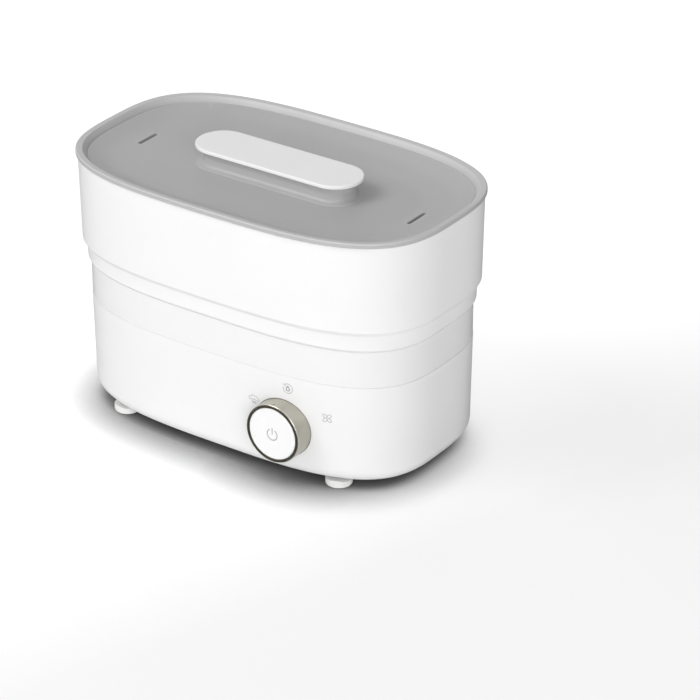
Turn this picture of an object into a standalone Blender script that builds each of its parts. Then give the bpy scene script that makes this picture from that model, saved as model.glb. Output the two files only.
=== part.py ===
"""Steam bottle sterilizer with a drying fan, as separate named pieces.

The file's sizes are millimetres and UNIT turns them into Blender's metres. +Z is up, +X is to the
right and the front faces -Y. The origin is the centre of the footprint, on the table.
Big shells are rounded rectangles written as superellipses, and a point of such a shell is given
as (inset, height): how far its outline lies inside the lid's edge, and how high it is.
"""

import math

import bmesh
import bpy
from mathutils import Matrix, Vector

UNIT = 0.001
GAP = 0.3  # left between two pieces that touch

# Plan outline of the lid's edge; every other outline is this one moved inwards.
HALF_LENGTH = 150.0
HALF_DEPTH = 89.7
OUTLINE_POWER = 3.2
OUTLINE_POINTS = 40

# Levels, from the table up.
BOTTOM_Z = 5.0
BOTTOM_RADIUS = 12.0
SEAM_Z = 83.0
TRAY_TOP_Z = 110.9
STEP_LOW_Z = 114.0
STEP_HIGH_Z = 124.0
WALL_LOW_Z = 130.0
BASKET_TOP_Z = 193.9
LID_TOP_Z = 198.0
PANEL_Z = 187.5
NECK_TOP_Z = 200.2
HANDLE_TOP_Z = 203.1

# Insets of the outer faces, and wall thicknesses.
BASE_INSET_TOP = 7.4
BASE_INSET_LOW = 8.4
BAND_INSET = 7.6
FOOT_BAND_INSET = 5.6
WALL_INSET_LOW = 2.3
WALL_INSET_TOP = 1.3
BASE_WALL = 2.5
BASKET_WALL = 2.2
LID_WALL = 2.0
COVER_INSET = 36.0
COVER_LAP = 10.0
COVER_THICKNESS = 2.5
BASIN_FLOOR_Z = 74.0
BASIN_FLOOR = 2.5
PLATE_LEDGE_INSET = 24.0

# Feet and cover screws.
FOOT_X, FOOT_Y, FOOT_RADIUS, FOOT_TOP_Z = 94.4, 61.6, 9.7, 12.0
SCREW_X, SCREW_Y = 87.8, 39.2
SCREW_SHANK, SCREW_HEAD, SCREW_HEAD_HEIGHT = 1.4, 3.6, 1.2
SCREW_BOSS_RADIUS, SCREW_BOSS_TOP = 4.0, 22.0

# Heating plate.
PLATE_X, PLATE_RADIUS = -35.0, 57.0
PLATE_HOLE_RADIUS = 50.0
PLATE_UNDER_Z = 78.7
RETAINER_THICKNESS = 1.8
STUD_CIRCLE, STUD_RADIUS, STUD_COUNT, STUD_LOW_Z = 46.5, 2.0, 3, 67.0
ELEMENT_CIRCLE, ELEMENT_RADIUS, ELEMENT_OPENING, ELEMENT_DROP = 34.0, 3.4, 24.0, 12.0

# Circuit boards.
BOARD_THICKNESS = 1.6
BOARD_X, BOARD_LOW_Z, BOARD_HALF_X, BOARD_HALF_Y = -70.0, 13.0, 28.0, 26.0
POST_RADIUS, POST_OFFSET = 3.0, 4.0

# Knob and button, on an axis along Y.
KNOB_X, KNOB_Z = 59.0, 41.7
KNOB_FRONT_Y = -92.8
KNOB_FRONT_RADIUS, KNOB_REAR_RADIUS, KNOB_BORE = 21.8, 22.4, 19.5
TRIM_DEPTH = 0.8
POCKET_RADIUS, POCKET_Y, POCKET_WALL = 22.9, -74.0, 2.0
HUB_RADIUS, HUB_BORE = 8.0, 6.0
HUB_FIT = 0.4
BUTTON_RADIUS, BUTTON_FACE, BUTTON_SKIRT, BUTTON_SET_BACK = 19.1, 2.5, 8.0, 0.5
STEM_RADIUS = 3.0
SWITCH_HALF, SWITCH_DEPTH = 3.0, 3.5
CONTROL_BOARD_Y = -65.6

# Fan, filter and air path at the back.
FAN_X, FAN_Z = 48.0, 38.0
FAN_FRONT_Y, FAN_REAR_Y, FAN_RADIUS, FAN_WALL = 34.0, 59.0, 26.0, 2.0
DUCT_X, DUCT_Y, DUCT_WIDTH, DUCT_DEPTH = 64.0, 46.5, 20.0, 21.0
FAN_FOOT_Z, FAN_FOOT_HALF, FAN_EYE_RADIUS, FAN_SHAFT_RADIUS = 10.7, 10.0, 15.0, 1.5
BLADES, BLADE_ROOT, BLADE_TIP, BLADE_HALF_TURN = 12, 10.0, 20.5, 4.0
CHIMNEY_TOP_Z, CHIMNEY_WALL = 98.0, 1.5
DUCT_WALL = 1.4
DOOR_X, DOOR_Z, DOOR_WIDTH, DOOR_HEIGHT = 48.0, 42.0, 68.0, 44.0
DOOR_BLOCK_Y = 65.0  # a block from here to the lid's edge passes through the rear wall
LOUVRES, LOUVRE_STEP, LOUVRE_HALF_HEIGHT, LOUVRE_HALF_WIDTH = 6, 5.6, 1.4, 26.0

# Lid details.
SLOT_X, SLOT_LENGTH, SLOT_WIDTH = 116.9, 21.6, 3.0
HANDLE_HALF_LENGTH, HANDLE_HALF_WIDTH = 68.9, 20.0
NECK_HALF_LENGTH, NECK_HALF_WIDTH = 63.5, 15.0
HANDLE_PEG_X, HANDLE_PEG_RADIUS, HANDLE_PEG_LENGTH = 40.0, 3.0, 6.5

# Rack: slots for steam, and pegs.
RACK_THICKNESS = 2.0
RACK_COLUMNS, RACK_ROWS, RACK_STEP_X, RACK_STEP_Y = 7, 4, 32.0, 30.0
RACK_SLOT_HALF_LENGTH, RACK_SLOT_HALF_WIDTH, PEG_HEIGHT = 11.0, 3.0, 12.0

# Power cord: out of the rear wall, down a bent boot, folded into three runs, and a plug.
CORD_RADIUS = 3.0
CORD_X, CORD_Z, CORD_DROP_Y, CORD_BEND = 2.0, 34.0, 87.1, 6.0
RUN_LEFT, RUN_RIGHT = -66.0, -16.0
RUN_INNER_Y, RUN_OUTER_Y, RUN_LOW_Z, RUN_HIGH_Z = 80.9, 88.9, 4.0, 12.0
BOOT_RADIUS, BOOT_FLANGE, BOOT_LOW_Z = 4.8, 7.5, 20.0
TIE_X, TIE_HALF_WIDTH, TIE_SLACK, TIE_THICKNESS = -41.0, 5.0, 0.3, 0.6
PLUG_X, PLUG_Y, PLUG_Z = -90.0, 80.6, 7.1
PIN_OFFSET, PIN_RADIUS, PIN_LENGTH = 8.7, 2.0, 18.5

KNOB_CENTRE = (KNOB_X, 0.0, KNOB_Z)
FAN_CENTRE = (FAN_X, 0.0, FAN_Z)
PLATE_CENTRE = (PLATE_X, 0.0, 0.0)

# How far a cutter passes the face that it cuts, and the overlap of two bodies that are joined.
PAST = 1.0

# Finishes: colour, roughness, metallic.
FINISHES = {
    "white_gloss": ((0.92, 0.92, 0.91), 0.28, 0.0),
    "white_satin": ((0.88, 0.88, 0.87), 0.42, 0.0),
    "lid_grey": ((0.42, 0.43, 0.43), 0.45, 0.0),
    "handle_white": ((0.80, 0.80, 0.80), 0.40, 0.0),
    "champagne": ((0.52, 0.48, 0.40), 0.35, 0.9),
    "dark_trim": ((0.07, 0.06, 0.05), 0.30, 0.8),
    "soft_grey": ((0.30, 0.30, 0.30), 0.80, 0.0),
    "black_plastic": ((0.03, 0.03, 0.03), 0.50, 0.0),
    "steel": ((0.62, 0.61, 0.59), 0.32, 1.0),
    "brass": ((0.66, 0.50, 0.24), 0.35, 1.0),
    "board_green": ((0.03, 0.16, 0.07), 0.45, 0.0),
    "filter_felt": ((0.70, 0.72, 0.72), 0.95, 0.0),
}

AXIS_TURN = {
    "Z": Matrix.Identity(3),
    "Y": Matrix.Rotation(math.radians(-90), 3, "X"),
    "X": Matrix.Rotation(math.radians(90), 3, "Y"),
}


def clear_scene():
    for thing in list(bpy.data.objects):
        bpy.data.objects.remove(thing)


def material(name, finish):
    """A Principled material of the piece's own."""
    colour, roughness, metallic = FINISHES[finish]
    made = bpy.data.materials.new(name)
    made.use_nodes = True
    shader = made.node_tree.nodes["Principled BSDF"]
    shader.inputs["Base Color"].default_value = (*colour, 1.0)
    shader.inputs["Roughness"].default_value = roughness
    shader.inputs["Metallic"].default_value = metallic
    return made


# Outlines: each returns one closed loop of points, in millimetres.


def outline(inset, height):
    """The shell's outline, moved inwards and lifted to a height."""
    points = []
    for step in range(OUTLINE_POINTS):
        turn = math.tau * step / OUTLINE_POINTS
        along, across = math.cos(turn), math.sin(turn)
        size = (abs(along) ** OUTLINE_POWER + abs(across) ** OUTLINE_POWER) ** (-1 / OUTLINE_POWER)
        x = (HALF_LENGTH - inset) * along * size
        y = (HALF_DEPTH - inset) * across * size
        points.append(Vector((x, y, height)))
    return points


def circle(radius, along, centre, axis="Z", count=20):
    """A circle round an axis through centre; along is its place on that axis."""
    points = []
    for step in range(count):
        turn = math.tau * step / count
        flat = Vector((radius * math.cos(turn), radius * math.sin(turn), along))
        points.append(AXIS_TURN[axis] @ flat + Vector(centre))
    return points


def stadium(half_length, half_width, height, steps=8):
    """A rounded bar with half-circle ends, along X."""
    points = []
    for end in (1, -1):
        for step in range(steps + 1):
            turn = math.pi * (step / steps - 0.5)
            x = end * (half_length - half_width + half_width * math.cos(turn))
            points.append(Vector((x, end * half_width * math.sin(turn), height)))
    return points


def rectangle(x, y, width, depth, height):
    half = (width / 2, depth / 2)
    corners = ((1, 1), (-1, 1), (-1, -1), (1, -1))
    return [Vector((x + sx * half[0], y + sy * half[1], height)) for sx, sy in corners]


def arc(centre, radius, start, end, steps):
    """Points of a flat arc, as (inset, height) or (radius, along) pairs. Angles are in degrees."""
    points = []
    for step in range(steps + 1):
        turn = math.radians(start + (end - start) * step / steps)
        points.append((centre[0] + radius * math.cos(turn), centre[1] + radius * math.sin(turn)))
    return points


# Solids.


def skin(loops, ring=False):
    """A closed body over a list of loops: capped at both ends, or joined end to end as a ring."""
    mesh = bmesh.new()
    rows = [[mesh.verts.new(point * UNIT) for point in loop] for loop in loops]
    pairs = list(zip(rows, rows[1:]))
    if ring:
        pairs.append((rows[-1], rows[0]))
    else:
        mesh.faces.new(rows[0])
        mesh.faces.new(rows[-1])
    for low, high in pairs:
        for place, corner in enumerate(low):
            following = (place + 1) % len(low)
            mesh.faces.new((corner, low[following], high[following], high[place]))
    bmesh.ops.recalc_face_normals(mesh, faces=mesh.faces)
    return mesh


def shell(profile, ring=False):
    return skin([outline(inset, height) for inset, height in profile], ring)


def turned(profile, centre, axis="Z", ring=False, count=20):
    """A body of revolution from (radius, along) pairs."""
    return skin([circle(radius, along, centre, axis, count) for radius, along in profile], ring)


def cylinder(radius, start, end, centre, axis="Z", count=20):
    return turned([(radius, start), (radius, end)], centre, axis, count=count)


def block(low, high):
    """A box between two corners."""
    mesh = bmesh.new()
    low, high = Vector(low), Vector(high)
    size = Matrix.Diagonal((high - low) * UNIT).to_4x4()
    bmesh.ops.create_cube(mesh, size=1.0, matrix=Matrix.Translation((low + high) * UNIT / 2) @ size)
    return mesh


def merged(meshes):
    """Several bodies that don't touch, in one mesh: a group of cutters."""
    whole = bmesh.new()
    for mesh in meshes:
        data = bpy.data.meshes.new("part_of_group")
        mesh.to_mesh(data)
        mesh.free()
        whole.from_mesh(data)
        bpy.data.meshes.remove(data)
    return whole


def place(name, data, origin, parent):
    piece = bpy.data.objects.new(name, data)
    bpy.context.scene.collection.objects.link(piece)
    piece.location = Vector(origin) * UNIT
    if parent:
        piece.parent = parent
        piece.location -= parent.location
    return piece


def solid(name, mesh, finish, parent, origin=(0, 0, 0)):
    """A named piece from a bmesh in world place, with its origin where it is asked for."""
    mesh.transform(Matrix.Translation(-Vector(origin) * UNIT))
    data = bpy.data.meshes.new(name)
    mesh.to_mesh(data)
    mesh.free()
    data.shade_smooth()
    data.set_sharp_from_angle(angle=math.radians(35))
    data.materials.append(material(name, finish))
    return place(name, data, origin, parent)


def tube(name, points, radius, finish, parent):
    """A round cable or rod along a line of points."""
    curve = bpy.data.curves.new(name, "CURVE")
    curve.dimensions = "3D"
    curve.bevel_depth = radius * UNIT
    curve.bevel_resolution = 2
    curve.use_fill_caps = True
    spline = curve.splines.new("POLY")
    spline.points.add(len(points) - 1)
    for point, target in zip(points, spline.points):
        target.co = (*(Vector(point) - Vector(points[0])) * UNIT, 1.0)
    curve.materials.append(material(name, finish))
    return place(name, curve, points[0], parent)


def helper(body):
    """Marks a body that only shapes another one."""
    body.hide_render = True
    body.display_type = "WIRE"
    return body


def combine_with(piece, body, operation):
    change = piece.modifiers.new(operation.lower(), "BOOLEAN")
    change.operation = operation
    change.solver = "EXACT"
    change.object = body


def combine(piece, mesh, operation):
    """Cuts a helper body from a piece, joins it on, or keeps what they share."""
    data = bpy.data.meshes.new(piece.name + "_helper")
    mesh.transform(Matrix.Translation(-world_place(piece)))
    mesh.to_mesh(data)
    mesh.free()
    body = helper(place(piece.name + "_helper", data, (0, 0, 0), None))
    body.parent = piece
    combine_with(piece, body, operation)


def world_place(piece):
    """World place of a piece whose only parents are unturned empties."""
    return piece.location + (piece.parent.location if piece.parent else Vector())


def cut(piece, mesh):
    combine(piece, mesh, "DIFFERENCE")


def join(piece, mesh):
    combine(piece, mesh, "UNION")


def frame(name, origin=(0, 0, 0)):
    """An empty that carries the pieces of one moving body."""
    empty = bpy.data.objects.new(name, None)
    empty.location = Vector(origin) * UNIT
    bpy.context.scene.collection.objects.link(empty)
    return empty


def grid(columns, rows, step_x, step_y):
    """Evenly spaced (x, y) places round the origin."""
    xs = [(column - (columns - 1) / 2) * step_x for column in range(columns)]
    ys = [(row - (rows - 1) / 2) * step_y for row in range(rows)]
    return [(x, y) for x in xs for y in ys]


def corners(x, y):
    """The four places (+-x, +-y), with the name of each."""
    sides = (("front_left", -1, -1), ("front_right", 1, -1), ("rear_left", -1, 1), ("rear_right", 1, 1))
    return [(name, x * sx, y * sy) for name, sx, sy in sides]


def studs():
    """The heating plate's studs, evenly round its centre."""
    turns = [math.tau * number / STUD_COUNT for number in range(STUD_COUNT)]
    return [(PLATE_X + STUD_CIRCLE * math.cos(t), STUD_CIRCLE * math.sin(t), 0) for t in turns]


# Base housing.


def base_outer_profile():
    """Outer face of the base from its flat bottom, round the lower edge and up to the seam."""
    middle = (BASE_INSET_LOW + BOTTOM_RADIUS, BOTTOM_Z + BOTTOM_RADIUS)
    return arc(middle, BOTTOM_RADIUS, 270, 180, 4) + [(BASE_INSET_TOP, SEAM_Z)]


def base_shell(base):
    """The housing's wall, floor and cover flange, then its screw bosses, knob well and openings."""
    inner_low = BASE_INSET_LOW + BASE_WALL
    floor_z = BOTTOM_Z + BASE_WALL
    lap_z = floor_z + GAP
    flange_z = lap_z + BASE_WALL
    inner = [
        (BASE_INSET_TOP + BASE_WALL, SEAM_Z),
        (inner_low, BOTTOM_Z + BOTTOM_RADIUS),
        (inner_low + BASE_WALL, floor_z + BASE_WALL),
        (inner_low + BOTTOM_RADIUS - BASE_WALL, floor_z),
        (COVER_INSET - BASE_WALL, floor_z),
        (COVER_INSET - BASE_WALL, flange_z),
        (COVER_INSET + COVER_LAP, flange_z),
        (COVER_INSET + COVER_LAP, lap_z),
        (COVER_INSET, lap_z),
        (COVER_INSET, BOTTOM_Z),
    ]
    piece = solid("base_shell", shell(base_outer_profile() + inner, ring=True), "white_gloss", base)
    combine_with(piece, knob_boss(), "UNION")
    for _, x, y in corners(SCREW_X, SCREW_Y):
        join(piece, cylinder(SCREW_BOSS_RADIUS, flange_z - PAST, SCREW_BOSS_TOP, (x, y, 0), count=10))
    pilots = [
        cylinder(SCREW_SHANK + GAP, BOTTOM_Z - PAST, SCREW_BOSS_TOP - 2, (x, y, 0), count=10)
        for _, x, y in corners(SCREW_X, SCREW_Y)
    ]
    cut(piece, merged(pilots))
    cut(piece, cylinder(POCKET_RADIUS, KNOB_FRONT_Y, POCKET_Y, KNOB_CENTRE, "Y", 28))
    hub_end = POCKET_Y + POCKET_WALL + PAST
    cut(piece, cylinder(HUB_RADIUS + HUB_FIT, POCKET_Y - PAST, hub_end, KNOB_CENTRE, "Y"))
    cut(piece, door_block(0))
    cord_hole = BOOT_RADIUS + GAP
    cut(piece, cylinder(cord_hole, HALF_DEPTH - 20, HALF_DEPTH, (CORD_X, 0, CORD_Z), "Y", 16))


def knob_boss():
    """A helper for the wall of the knob's well: a round block that stops inside the base's wall."""
    outer = POCKET_RADIUS + POCKET_WALL
    mesh = cylinder(outer, -HALF_DEPTH, POCKET_Y + POCKET_WALL, KNOB_CENTRE, "Y", 28)
    boss = helper(solid("knob_boss", mesh, "white_gloss", None))
    inset = BASE_INSET_LOW + PAST
    combine(boss, shell([(inset, BOTTOM_Z + 2), (inset, SEAM_Z - 2)]), "INTERSECT")
    return boss


def door_block(clearance):
    """A box through the rear wall, the size of the filter door less a clearance."""
    half_width, half_height = DOOR_WIDTH / 2 - clearance, DOOR_HEIGHT / 2 - clearance
    low = (DOOR_X - half_width, DOOR_BLOCK_Y, DOOR_Z - half_height)
    return block(low, (DOOR_X + half_width, HALF_DEPTH, DOOR_Z + half_height))


def bottom_cover(base):
    """The flat hatch under the base, with sunk screw heads and posts for the power board."""
    top = BOTTOM_Z + COVER_THICKNESS
    profile = [(COVER_INSET + GAP, BOTTOM_Z), (COVER_INSET + GAP, top)]
    piece = solid("bottom_cover", shell(profile), "white_satin", base, (0, 0, BOTTOM_Z))
    places = [(x, y, 0) for _, x, y in corners(SCREW_X, SCREW_Y)]
    sink = BOTTOM_Z + SCREW_HEAD_HEIGHT + 0.1
    cut(piece, merged([cylinder(SCREW_HEAD + GAP, BOTTOM_Z - PAST, sink, at, count=10) for at in places]))
    cut(piece, merged([cylinder(SCREW_SHANK + GAP, BOTTOM_Z, top + PAST, at, count=10) for at in places]))
    posts = [
        cylinder(POST_RADIUS, top - PAST, BOARD_LOW_Z - GAP, (x, y, 0), count=10)
        for x, y in board_posts()
    ]
    join(piece, merged(posts))


def cover_screws(base):
    """A pan head below the cover and a shank up into the boss."""
    under = BOTTOM_Z - 0.2
    head_top = under + SCREW_HEAD_HEIGHT
    profile = [
        (SCREW_HEAD - 0.6, under),
        (SCREW_HEAD, under + 0.5),
        (SCREW_HEAD, head_top),
        (SCREW_SHANK, head_top),
        (SCREW_SHANK, SCREW_BOSS_TOP - 4),
    ]
    for name, x, y in corners(SCREW_X, SCREW_Y):
        mesh = turned(profile, (x, y, 0), count=10)
        solid("cover_screw_" + name, mesh, "steel", base, (x, y, BOTTOM_Z))


def feet(base):
    """Rubber feet whose tops follow the rounded lower edge of the base."""
    for name, x, y in corners(FOOT_X, FOOT_Y):
        profile = [(FOOT_RADIUS - 0.8, 0), (FOOT_RADIUS, 0.8), (FOOT_RADIUS, FOOT_TOP_Z)]
        piece = solid("foot_" + name, turned(profile, (x, y, 0)), "white_satin", base, (x, y, 0))
        middle = (BASE_INSET_LOW + BOTTOM_RADIUS, BOTTOM_Z + BOTTOM_RADIUS)
        under = arc(middle, BOTTOM_RADIUS + GAP, 270, 180, 4) + [(BASE_INSET_LOW - GAP, SEAM_Z)]
        cut(piece, shell(under))


def water_tray(base):
    """The upper housing: a white band outside, a water basin inside, with a well for the plate."""
    under = BASIN_FLOOR_Z
    top = under + BASIN_FLOOR
    inner = BAND_INSET + BASE_WALL
    sleeve = BASE_INSET_TOP + BASE_WALL + GAP
    profile = [
        (PLATE_LEDGE_INSET - 2, under),
        (sleeve + 3.7, under + 1),
        (sleeve + 0.2, under + 5),
        (sleeve, SEAM_Z + GAP),
        (BAND_INSET, SEAM_Z + GAP),
        (BAND_INSET - 0.1, TRAY_TOP_Z - 0.6),
        (BAND_INSET + 0.5, TRAY_TOP_Z),
        (inner, TRAY_TOP_Z),
        (inner + 2.6, under + 8),
        (PLATE_LEDGE_INSET - 3, top + 1),
        (PLATE_LEDGE_INSET, top),
    ]
    piece = solid("water_tray", shell(profile), "white_gloss", base, (0, 0, SEAM_Z))
    cut(piece, cylinder(PLATE_HOLE_RADIUS, under - PAST, top + PAST, PLATE_CENTRE, count=28))
    outer = (DUCT_WIDTH + 4 * CHIMNEY_WALL, DUCT_DEPTH + 4 * CHIMNEY_WALL)
    heights = (under + PAST, CHIMNEY_TOP_Z)
    join(piece, skin([rectangle(DUCT_X, DUCT_Y, *outer, height) for height in heights]))
    bore = (DUCT_WIDTH + 2 * CHIMNEY_WALL, DUCT_DEPTH + 2 * CHIMNEY_WALL)
    heights = (under - PAST, CHIMNEY_TOP_Z + PAST)
    cut(piece, skin([rectangle(DUCT_X, DUCT_Y, *bore, height) for height in heights]))


# Heating plate and what hangs under it.


def heating_plate(base):
    """A dished disc on the basin floor, with three studs down through its hole."""
    under = PLATE_UNDER_Z
    profile = [
        (PLATE_RADIUS, under),
        (PLATE_RADIUS, under + 1.0),
        (PLATE_RADIUS - 0.6, under + 1.5),
        (PLATE_RADIUS - 6, under + 1.5),
        (PLATE_RADIUS - 10, under + 1.0),
    ]
    mesh = turned(profile, PLATE_CENTRE, count=28)
    piece = solid("heating_plate", mesh, "steel", base, (PLATE_X, 0, under))
    join(piece, merged([cylinder(STUD_RADIUS, STUD_LOW_Z, under + 0.5, at, count=10) for at in studs()]))


def plate_gasket(base):
    low, high = BASIN_FLOOR_Z + BASIN_FLOOR + GAP, PLATE_UNDER_Z - GAP
    inner, outer = PLATE_HOLE_RADIUS - 0.8, PLATE_RADIUS - 1
    profile = [(inner, low), (outer, low), (outer, high), (inner, high)]
    mesh = turned(profile, PLATE_CENTRE, ring=True, count=28)
    solid("plate_gasket", mesh, "soft_grey", base, (PLATE_X, 0, low))


def plate_retainer(base):
    """A steel ring under the basin floor that the studs pull up."""
    high = BASIN_FLOOR_Z - GAP
    low, inner, outer = high - RETAINER_THICKNESS, STUD_CIRCLE - 4.5, PLATE_RADIUS
    profile = [(inner, low), (outer, low), (outer, high), (inner, high)]
    mesh = turned(profile, PLATE_CENTRE, ring=True, count=28)
    piece = solid("plate_retainer", mesh, "steel", base, (PLATE_X, 0, low))
    holes = [cylinder(STUD_RADIUS + GAP, low - PAST, high + PAST, at, count=10) for at in studs()]
    cut(piece, merged(holes))


def plate_nuts(base):
    high = BASIN_FLOOR_Z - RETAINER_THICKNESS - 2 * GAP
    low, inner, outer = high - 3.2, STUD_RADIUS + GAP, 4.2
    profile = [(inner, low), (outer, low), (outer, high), (inner, high)]
    for number, at in enumerate(studs(), 1):
        mesh = turned(profile, at, ring=True, count=6)
        solid(f"plate_nut_{number}", mesh, "steel", base, (at[0], at[1], high))


def heating_element(base):
    """A tubular heater bent into an open ring, its two ends turned down."""
    height = PLATE_UNDER_Z - GAP - ELEMENT_RADIUS
    bend = arc((PLATE_X, 0), ELEMENT_CIRCLE, 180 + ELEMENT_OPENING, 540 - ELEMENT_OPENING, 22)
    points = [(x, y, height) for x, y in bend]
    ends = [(x, y, height - ELEMENT_DROP) for x, y in (bend[0], bend[-1])]
    points = [ends[0], *points, ends[1]]
    tube("heating_element", points, ELEMENT_RADIUS, "steel", base)


def thermostat(base):
    """A stepped cap under the middle of the plate."""
    high = PLATE_UNDER_Z - GAP
    profile = [(5.0, high - 12), (8.0, high - 11), (8.0, high - 4), (9.5, high - 4), (9.5, high)]
    mesh = turned(profile, PLATE_CENTRE, count=16)
    solid("thermostat", mesh, "black_plastic", base, (PLATE_X, 0, high))


def thermal_fuse(base):
    """A small metal can on the plate, beside the thermostat."""
    high = PLATE_UNDER_Z - GAP
    centre = (PLATE_X + 18, 0, high - 2.4)
    solid("thermal_fuse", cylinder(2.2, -7, 7, centre, "Y", 12), "brass", base, centre)


# Electronics.


def board_posts():
    """The (x, y) places of the posts under the power board."""
    x, y = BOARD_HALF_X - POST_OFFSET, BOARD_HALF_Y - POST_OFFSET
    return [(BOARD_X + sx * x, sy * y) for sx in (-1, 1) for sy in (-1, 1)]


def power_board(base):
    low = (BOARD_X - BOARD_HALF_X, -BOARD_HALF_Y, BOARD_LOW_Z)
    high = (BOARD_X + BOARD_HALF_X, BOARD_HALF_Y, BOARD_LOW_Z + BOARD_THICKNESS)
    solid("power_board", block(low, high), "board_green", base, (BOARD_X, 0, BOARD_LOW_Z))


def rounded_block(name, centre, size, finish, base):
    """A block with broken edges that stands on the power board; centre is (x, y)."""
    seat = BOARD_LOW_Z + BOARD_THICKNESS + GAP
    low = (centre[0] - size[0] / 2, centre[1] - size[1] / 2, seat)
    high = (centre[0] + size[0] / 2, centre[1] + size[1] / 2, seat + size[2])
    piece = solid(name, block(low, high), finish, base, (*centre, seat))
    edge = piece.modifiers.new("edge", "BEVEL")
    edge.width = 0.8 * UNIT
    edge.segments = 1


def board_parts(base):
    """A relay, a transformer and a capacitor."""
    rounded_block("board_relay", (-82.5, -10.5), (19, 15, 15), "black_plastic", base)
    rounded_block("board_transformer", (-82, 12), (20, 18, 16), "brass", base)
    seat = BOARD_LOW_Z + BOARD_THICKNESS + GAP
    radius, height, x, y = 6.0, 15.0, -56.0, -10.0
    profile = [(radius, seat), (radius, seat + height - 1), (radius - 0.8, seat + height)]
    solid("board_capacitor", turned(profile, (x, y, 0), count=16), "black_plastic", base, (x, y, seat))


def control_board(base):
    """The upright board behind the knob."""
    half_height, left, right = 26.0, 32.0, 26.0
    low = (KNOB_X - left, CONTROL_BOARD_Y, KNOB_Z - half_height)
    high = (KNOB_X + right, CONTROL_BOARD_Y + BOARD_THICKNESS, KNOB_Z + half_height)
    solid("control_board", block(low, high), "board_green", base, (KNOB_X, CONTROL_BOARD_Y, KNOB_Z))


def mode_switch(base):
    """The rotary switch round the knob's hub."""
    half, front, rear = 12.0, POCKET_Y + POCKET_WALL + GAP, CONTROL_BOARD_Y - GAP
    mesh = block((KNOB_X - half, front, KNOB_Z - half), (KNOB_X + half, rear, KNOB_Z + half))
    piece = solid("mode_switch", mesh, "black_plastic", base, (KNOB_X, front, KNOB_Z))
    cut(piece, cylinder(HUB_RADIUS + GAP, front - PAST, rear + PAST, KNOB_CENTRE, "Y"))


def power_switch(base):
    """The small push switch that the button's stem presses."""
    rear = CONTROL_BOARD_Y - GAP
    front = rear - SWITCH_DEPTH
    low = (KNOB_X - SWITCH_HALF, front, KNOB_Z - SWITCH_HALF)
    mesh = block(low, (KNOB_X + SWITCH_HALF, rear, KNOB_Z + SWITCH_HALF))
    piece = solid("power_switch", mesh, "black_plastic", base, (KNOB_X, rear, KNOB_Z))
    plunger, stroke = 1.7, 0.6
    join(piece, cylinder(plunger, front - stroke, front + 0.5, KNOB_CENTRE, "Y", 12))


# Knob and power button.


def knob_ring(knob):
    """The champagne ring, with a pointer notch at the top of its front edge."""
    front, rear = KNOB_FRONT_Y + TRIM_DEPTH, POCKET_Y - HUB_FIT
    profile = [
        (KNOB_BORE, front),
        (KNOB_FRONT_RADIUS, front),
        (KNOB_REAR_RADIUS, rear),
        (KNOB_BORE, rear),
    ]
    mesh = turned(profile, KNOB_CENTRE, "Y", ring=True, count=28)
    piece = solid("knob_ring", mesh, "champagne", knob, KNOB_CENTRE)
    top = KNOB_Z + KNOB_FRONT_RADIUS
    half, depth, length = 0.6, 0.7, 3.0
    low = (KNOB_X - half, front - PAST, top - depth)
    cut(piece, block(low, (KNOB_X + half, front + length, top + PAST)))


def knob_trim(knob):
    """The thin dark ring round the button."""
    front, rear = KNOB_FRONT_Y, KNOB_FRONT_Y + TRIM_DEPTH - GAP
    outer = KNOB_FRONT_RADIUS - 0.05
    profile = [
        (KNOB_BORE, front),
        (outer - 0.3, front),
        (outer, front + 0.2),
        (outer, rear),
        (KNOB_BORE, rear),
    ]
    mesh = turned(profile, KNOB_CENTRE, "Y", ring=True, count=28)
    solid("knob_trim", mesh, "dark_trim", knob, KNOB_CENTRE)


def knob_carrier(knob):
    """A disc inside the ring, and the hub that turns the mode switch."""
    rear = POCKET_Y - HUB_FIT
    front = rear - 2.2
    hub_end = CONTROL_BOARD_Y - 1.4
    disc = KNOB_BORE - GAP
    profile = [
        (HUB_BORE, front),
        (disc, front),
        (disc, rear),
        (HUB_RADIUS, rear),
        (HUB_RADIUS, hub_end),
        (HUB_BORE, hub_end),
    ]
    mesh = turned(profile, KNOB_CENTRE, "Y", ring=True)
    solid("knob_carrier", mesh, "white_satin", knob, KNOB_CENTRE)


def power_button_cap(button):
    """A round cap with a skirt behind its face."""
    front = KNOB_FRONT_Y + BUTTON_SET_BACK
    skirt, rear = BUTTON_RADIUS - 1.5, front + BUTTON_SKIRT
    profile = [
        (BUTTON_RADIUS - 0.6, front),
        (BUTTON_RADIUS, front + 0.6),
        (BUTTON_RADIUS, rear),
        (skirt, rear),
        (skirt, front + BUTTON_FACE),
    ]
    mesh = turned(profile, KNOB_CENTRE, "Y", count=28)
    solid("power_button_cap", mesh, "white_gloss", button, (KNOB_X, front, KNOB_Z))


def button_stem(button):
    """A rod from the cap to just short of the switch, with a collar that runs in the hub."""
    front = KNOB_FRONT_Y + BUTTON_SET_BACK + BUTTON_FACE + GAP
    rear = CONTROL_BOARD_Y - SWITCH_DEPTH - 2.4
    guide, shaft = HUB_BORE - HUB_FIT, STEM_RADIUS
    profile = [
        (shaft, front),
        (shaft, rear - 2.5),
        (guide, rear - 2.5),
        (guide, rear - 1),
        (shaft, rear - 1),
        (shaft, rear),
    ]
    mesh = turned(profile, KNOB_CENTRE, "Y", count=16)
    solid("button_stem", mesh, "white_satin", button, (KNOB_X, front, KNOB_Z))


# Fan and air path.


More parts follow.
